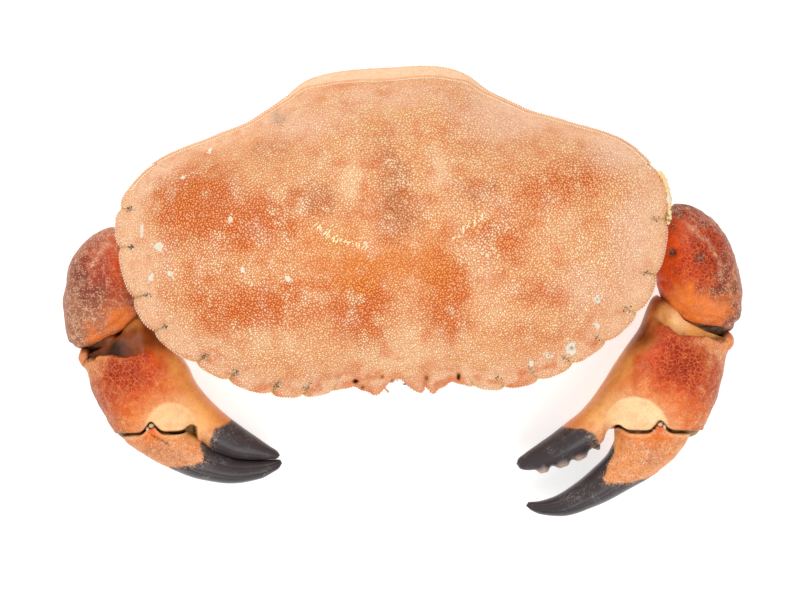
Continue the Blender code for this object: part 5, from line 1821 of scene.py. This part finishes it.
def leg_piece(name, node, rows, tones, seed, toe=False):
    """One leg piece: flattened sides with a ridge along each edge, and a dark tip on a toe."""
    piece = ladder(rows, "leg")
    rings, share, side = piece.rings, piece.share, np.abs(piece.side)[None, :]
    normals = ring_normals(rings)
    ridge = 0.35 * side ** 8 * np.sin(np.pi * share)[:, None]
    groove = 0.22 * bell(side - 0.55, 0.12) * ease(0.1, 0.3, share)[:, None]
    cuff = 0.35 * bell(share - 0.1, 0.04) + 0.35 * bell(share - 0.9, 0.04)
    lumps = 0.22 * noise(rings, 2.4, seed) + 0.08 * noise(rings, 0.9, seed + 1)
    rings = rings + normals * (ridge - groove + cuff[:, None] * (0 if toe else 1) + lumps)[..., None]
    tint = mix(tones.leg, tones.leg_pale, 0.35 + 0.5 * cloud(rings, 5.0, seed + 2))
    ends_pale = bell(share - 0.06, 0.06) + bell(share - 0.95, 0.05)
    tint = mix(tint, tones.leg_pale, ends_pale[:, None] * 0.8)
    tint = mix(tint, tones.stain, 0.5 * groove / 0.22)
    tint = mix(tint, tones.cream, 0.6 * (1 - upper(rings)))
    if toe:
        tint = mix(tint, tones.toe, ease(0.62, 0.85, share)[:, None])
    surface = skin(grounded(rings), *piece.ends)
    add_piece(name, surface, finish("leg"), (node,), with_poles(tint, rings.shape[1]))
    return rings


class CRAB_OT_legs(bpy.types.Operator):
    """Builds the eight walking legs, folded under the shell, with their bristles"""
    bl_idname = "crab.legs"
    bl_label = "Walking legs"

    def execute(self, context):
        tones = context.scene.crab_belly
        random = np.random.default_rng(29)
        roots, tips = [], []
        for side, word in SIDES:
            for number, (hip_x, hip_y, knee_x, knee_y) in enumerate(LEGS, start=1):
                flip = np.array([side, 1.0])
                hip, knee = np.array([hip_x, hip_y]), np.array([knee_x, knee_y])
                tip = np.array([TOE_TIP_X, hip_y - TOE_FORWARD])
                ankle = knee + (tip - knee) * SHIN_SHARE
                toe_start = ankle + (tip - ankle) / np.linalg.norm(tip - ankle) * GAP
                size = 1.0 if number < 4 else 0.85
                thigh = (THIGH_HALF[0] * size, THIGH_HALF[1])
                shin = (SHIN_HALF[0] * size, SHIN_HALF[1])
                runs = (("upper", hip, knee, thigh, thigh, (THIGH_HEIGHT, THIGH_HEIGHT)),
                        ("shin", knee, ankle, shin, TOE_HALF, (SHIN_HEIGHT, TOE_HEIGHT)),
                        ("toe", toe_start, tip, TOE_HALF, (0.9, 0.9), (TOE_HEIGHT, 0.9)))
                for order, (part, start, end, half_start, half_end, height) in enumerate(runs):
                    rows = limb_rows(start * flip, end * flip, half_start, half_end, height)
                    seed = 500 + number * 10 + order + (40 if side > 0 else 0)
                    rings = leg_piece(f"leg_{number}_{part}_skin_{word}", f"leg_{number}_{part}_{word}",
                                      rows, tones, seed, part == "toe")
                    if part != "upper":
                        columns = (0, rings.shape[1] // 2)
                        count = BRISTLES["leg"]
                        picked = random.integers(6, 50, count)
                        root = rings[picked, random.choice(columns, count)]
                        away = root - rings[picked].mean(axis=1)
                        away /= np.linalg.norm(away, axis=1, keepdims=True)
                        lean = away * random.uniform(0.8, 1.8, (count, 1))
                        lean = lean + random.normal(0, 0.25, (count, 3))
                        roots.append(root - away * 0.1)
                        tips.append(root + lean)
        roots, tips = np.concatenate(roots), np.concatenate(tips)
        roots[:, 2] = np.maximum(roots[:, 2], 0.1)
        tips[:, 2] = np.maximum(tips[:, 2], 0.1)
        surface = bristles(roots, tips, BRISTLE_RADIUS["leg"])
        tint = np.full(surface[0].shape, tones.hair, float)
        add_piece("leg_bristles", surface, finish("hair"), (), tint)
        return {"FINISHED"}


# ---------------------------------------------------------------- belly

class CRAB_OT_belly(bpy.types.Operator):
    """Builds the breast plate with its grooves and the jointed tail flap"""
    bl_idname = "crab.belly"
    bl_label = "Breast and tail flap"

    def execute(self, context):
        tones = context.scene.crab_belly
        self.breast(tones)
        self.tail(tones)
        return {"FINISHED"}

    def breast(self, tones):
        """A rounded box in plan, upright above and sloping in below, cut by five grooves a side."""
        across, lengthways = squarish(240, 0.6, 0.8)
        across, lengthways = across * BREAST_HALF[0], lengthways * BREAST_HALF[1]
        places, sizes, heights = np.array(BREAST_PROFILE, float).T
        at = np.linspace(0, places[-1], 90)
        size, height = smooth(places, np.column_stack([sizes, heights]), at, 1.0).T
        rings = np.stack([across[None] * size[:, None], lengthways[None] * size[:, None],
                          np.broadcast_to(height[:, None], (len(at), len(across)))], axis=2)
        below = ease(3.4, 4.6, at)[:, None]
        x, y = np.abs(rings[..., 0]), rings[..., 1]
        grooves = np.zeros(x.shape)
        for hip_x, hip_y in (CLAW_HIP, *(leg[:2] for leg in LEGS)):
            line = hip_y - 4.4 + (hip_x - x) * 0.18
            grooves = np.maximum(grooves, bell(y - line, 0.7) * ease(6.0, 10.0, x))
        grooves = np.maximum(grooves, 0.7 * bell(x, 0.6) * (y < -12))
        rings[..., 2] += below * (0.9 * grooves + 0.2 * noise(rings, 3.0, 601))
        stained = grooves * below * 0.85 + 0.25 * ease(0, 0.8, cloud(rings, 6.0, 603))
        tint = mix(tones.cream, tones.stain, stained)
        surface = skin(rings, (0, 0, BREAST_TOP), (0, 0, BREAST_FLOOR))
        add_piece("breast_plate", surface, finish("belly"), ("breast",),
                  with_poles(tint, len(across)))

    def tail(self, tones):
        """A rounded plate carried along its path, with a groove at each of its joints."""
        table = np.array(TAIL_PATH, float)
        steps = np.concatenate([[0.0], np.cumsum(np.linalg.norm(np.diff(table[:, :2], axis=0), axis=1))])
        steps /= steps[-1]
        at = np.linspace(0, 1, 130)
        path = smooth(steps, table, at, 1.0)
        ahead = np.gradient(path[:, :2], axis=0)
        ahead /= np.linalg.norm(ahead, axis=1, keepdims=True)
        inward = np.column_stack([ahead[:, 1], -ahead[:, 0]])
        joint = sum(bell(at - place, 0.011) for place in TAIL_JOINTS)
        plates = np.interp(at, (0, *TAIL_JOINTS, 1), range(len(TAIL_JOINTS) + 2))
        swell = 0.35 * np.abs(np.sin(np.pi * plates))
        side, face = squarish(64, 0.45, 0.7)
        width = path[:, 2] - 0.8 * joint + swell * 0.8 - 0.4
        depth = TAIL_THICKNESS / 2 * (1 - face)[None, :]
        depth = depth + 0.9 * joint[:, None] * ease(0.2, 0.9, face)[None, :]
        x = width[:, None] * side[None, :]
        y = path[:, 0:1] + inward[:, 0:1] * depth
        z = path[:, 1:2] + inward[:, 1:2] * depth
        rings = grounded(np.stack([x, y, z], axis=2))
        stained = joint[:, None] * 0.9 + 0.3 * ease(0, 0.8, cloud(rings, 5.0, 611))
        surface = skin(rings, rings[0].mean(axis=0), rings[-1].mean(axis=0))
        add_piece("tail_plates", surface, finish("belly"), ("tail_flap",),
                  with_poles(mix(tones.cream, tones.stain, stained), len(side)))


# ---------------------------------------------------------------- stage

class CRAB_OT_stage(bpy.types.Operator):
    """Sets up the pale table, the soft light and the camera that looks straight down"""
    bl_idname = "crab.stage"
    bl_label = "Table, light and camera"

    def execute(self, context):
        settings = context.scene.crab_stage
        middle = (CAD_BOX[0] + CAD_BOX[1]) / 2
        self.table(settings)
        self.lights(settings, middle)
        aim_x = middle.x + AIM_FROM_MIDDLE[0] * MM
        aim_y = middle.y + AIM_FROM_MIDDLE[1] * MM
        camera = bpy.data.cameras.new("overhead_camera")
        camera.sensor_width = SENSOR
        camera.lens = SENSOR * (CAMERA_HEIGHT - SHARP_HEIGHT) / VIEW_WIDTH
        viewer = bpy.data.objects.new("overhead_camera", camera)
        viewer.location = (aim_x, aim_y, CAMERA_HEIGHT * MM)
        viewer.rotation_euler = (0.0, 0.0, np.radians(CAMERA_TURN))
        context.scene.collection.objects.link(viewer)
        context.scene.camera = viewer
        context.scene.view_settings.view_transform = "Standard"
        return {"FINISHED"}

    def table(self, settings):
        """A wide pale table with a very slight cloudiness."""
        corners = TABLE_HALF * np.array([(-1, -1, 0), (1, -1, 0), (1, 1, 0), (-1, 1, 0)])
        mesh = bpy.data.meshes.new("table")
        mesh.from_pydata((corners * MM).tolist(), [], [(0, 1, 2, 3)])
        made, tree = new_finish("pale_table")
        cloudy = tree.mottle(60.0, 0.2)
        dimmer = tree.blend(1.0, settings.floor, (0.985, 0.985, 0.985), "MULTIPLY")
        colour = tree.blend(cloudy, settings.floor, dimmer)
        finish_surface(tree, colour, tree.ramp(cloudy, 0.0, 1.0, 0.75, 0.85), cloudy, 0.01,
                       Emission_Color=(1.0, 1.0, 1.0, 1.0), Emission_Strength=settings.floor_glow)
        mesh.materials.append(made)
        table = bpy.data.objects.new("table", mesh)
        bpy.context.scene.collection.objects.link(table)

    def lights(self, settings, middle):
        """An even white surround and two wide lamps, behind the crab and in front of it."""
        world = bpy.data.worlds.new("white_surround")
        world.use_nodes = True
        background = world.node_tree.nodes["Background"]
        background.inputs["Color"].default_value = (1.0, 1.0, 1.0, 1.0)
        background.inputs["Strength"].default_value = settings.world_light
        bpy.context.scene.world = world
        for name, offset_x, offset_y, height, power in LAMPS:
            lamp = bpy.data.lights.new(name, "AREA")
            lamp.shape = "RECTANGLE"
            lamp.size, lamp.size_y = (size * MM for size in LAMP_SIZE)
            lamp.energy = settings.lamp_light * power
            holder = bpy.data.objects.new(name, lamp)
            place = np.array((middle.x + offset_x * MM, middle.y + offset_y * MM, height * MM))
            holder.location = place
            away = -(middle - type(middle)(place))
            holder.rotation_euler = away.to_track_quat("Z", "Y").to_euler()
            bpy.context.scene.collection.objects.link(holder)


# ---------------------------------------------------------------- add-on

OPERATORS = (CRAB_OT_shell, CRAB_OT_granules, CRAB_OT_crusts, CRAB_OT_face, CRAB_OT_claws,
             CRAB_OT_claw_joints, CRAB_OT_legs, CRAB_OT_belly, CRAB_OT_stage)
SETTINGS = (("crab_shell", CrabShellSettings), ("crab_claw", CrabClawSettings),
            ("crab_belly", CrabBellySettings), ("crab_stage", CrabStageSettings))


class CRAB_PT_panel(bpy.types.Panel):
    """Lists the crab's pieces and settings in the sidebar"""
    bl_label = "Cooked crab"
    bl_idname = "CRAB_PT_panel"
    bl_space_type = "VIEW_3D"
    bl_region_type = "UI"
    bl_category = "Crab"

    def draw(self, context):
        for operator in OPERATORS:
            self.layout.operator(operator.bl_idname)
        for name, group in SETTINGS:
            box = self.layout.box()
            for label in group.__annotations__:
                box.prop(getattr(context.scene, name), label)


def register():
    for name, group in SETTINGS:
        bpy.utils.register_class(group)
        setattr(bpy.types.Scene, name, bpy.props.PointerProperty(type=group))
    for made in (*OPERATORS, CRAB_PT_panel):
        bpy.utils.register_class(made)


def unregister():
    for made in (CRAB_PT_panel, *reversed(OPERATORS)):
        bpy.utils.unregister_class(made)
    for name, group in reversed(SETTINGS):
        delattr(bpy.types.Scene, name)
        bpy.utils.unregister_class(group)


def main():
    """Registers the add-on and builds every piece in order."""
    register()
    for operator in OPERATORS:
        area, action = operator.bl_idname.split(".")
        getattr(getattr(bpy.ops, area), action)()


if __name__ == "__main__":
    main()
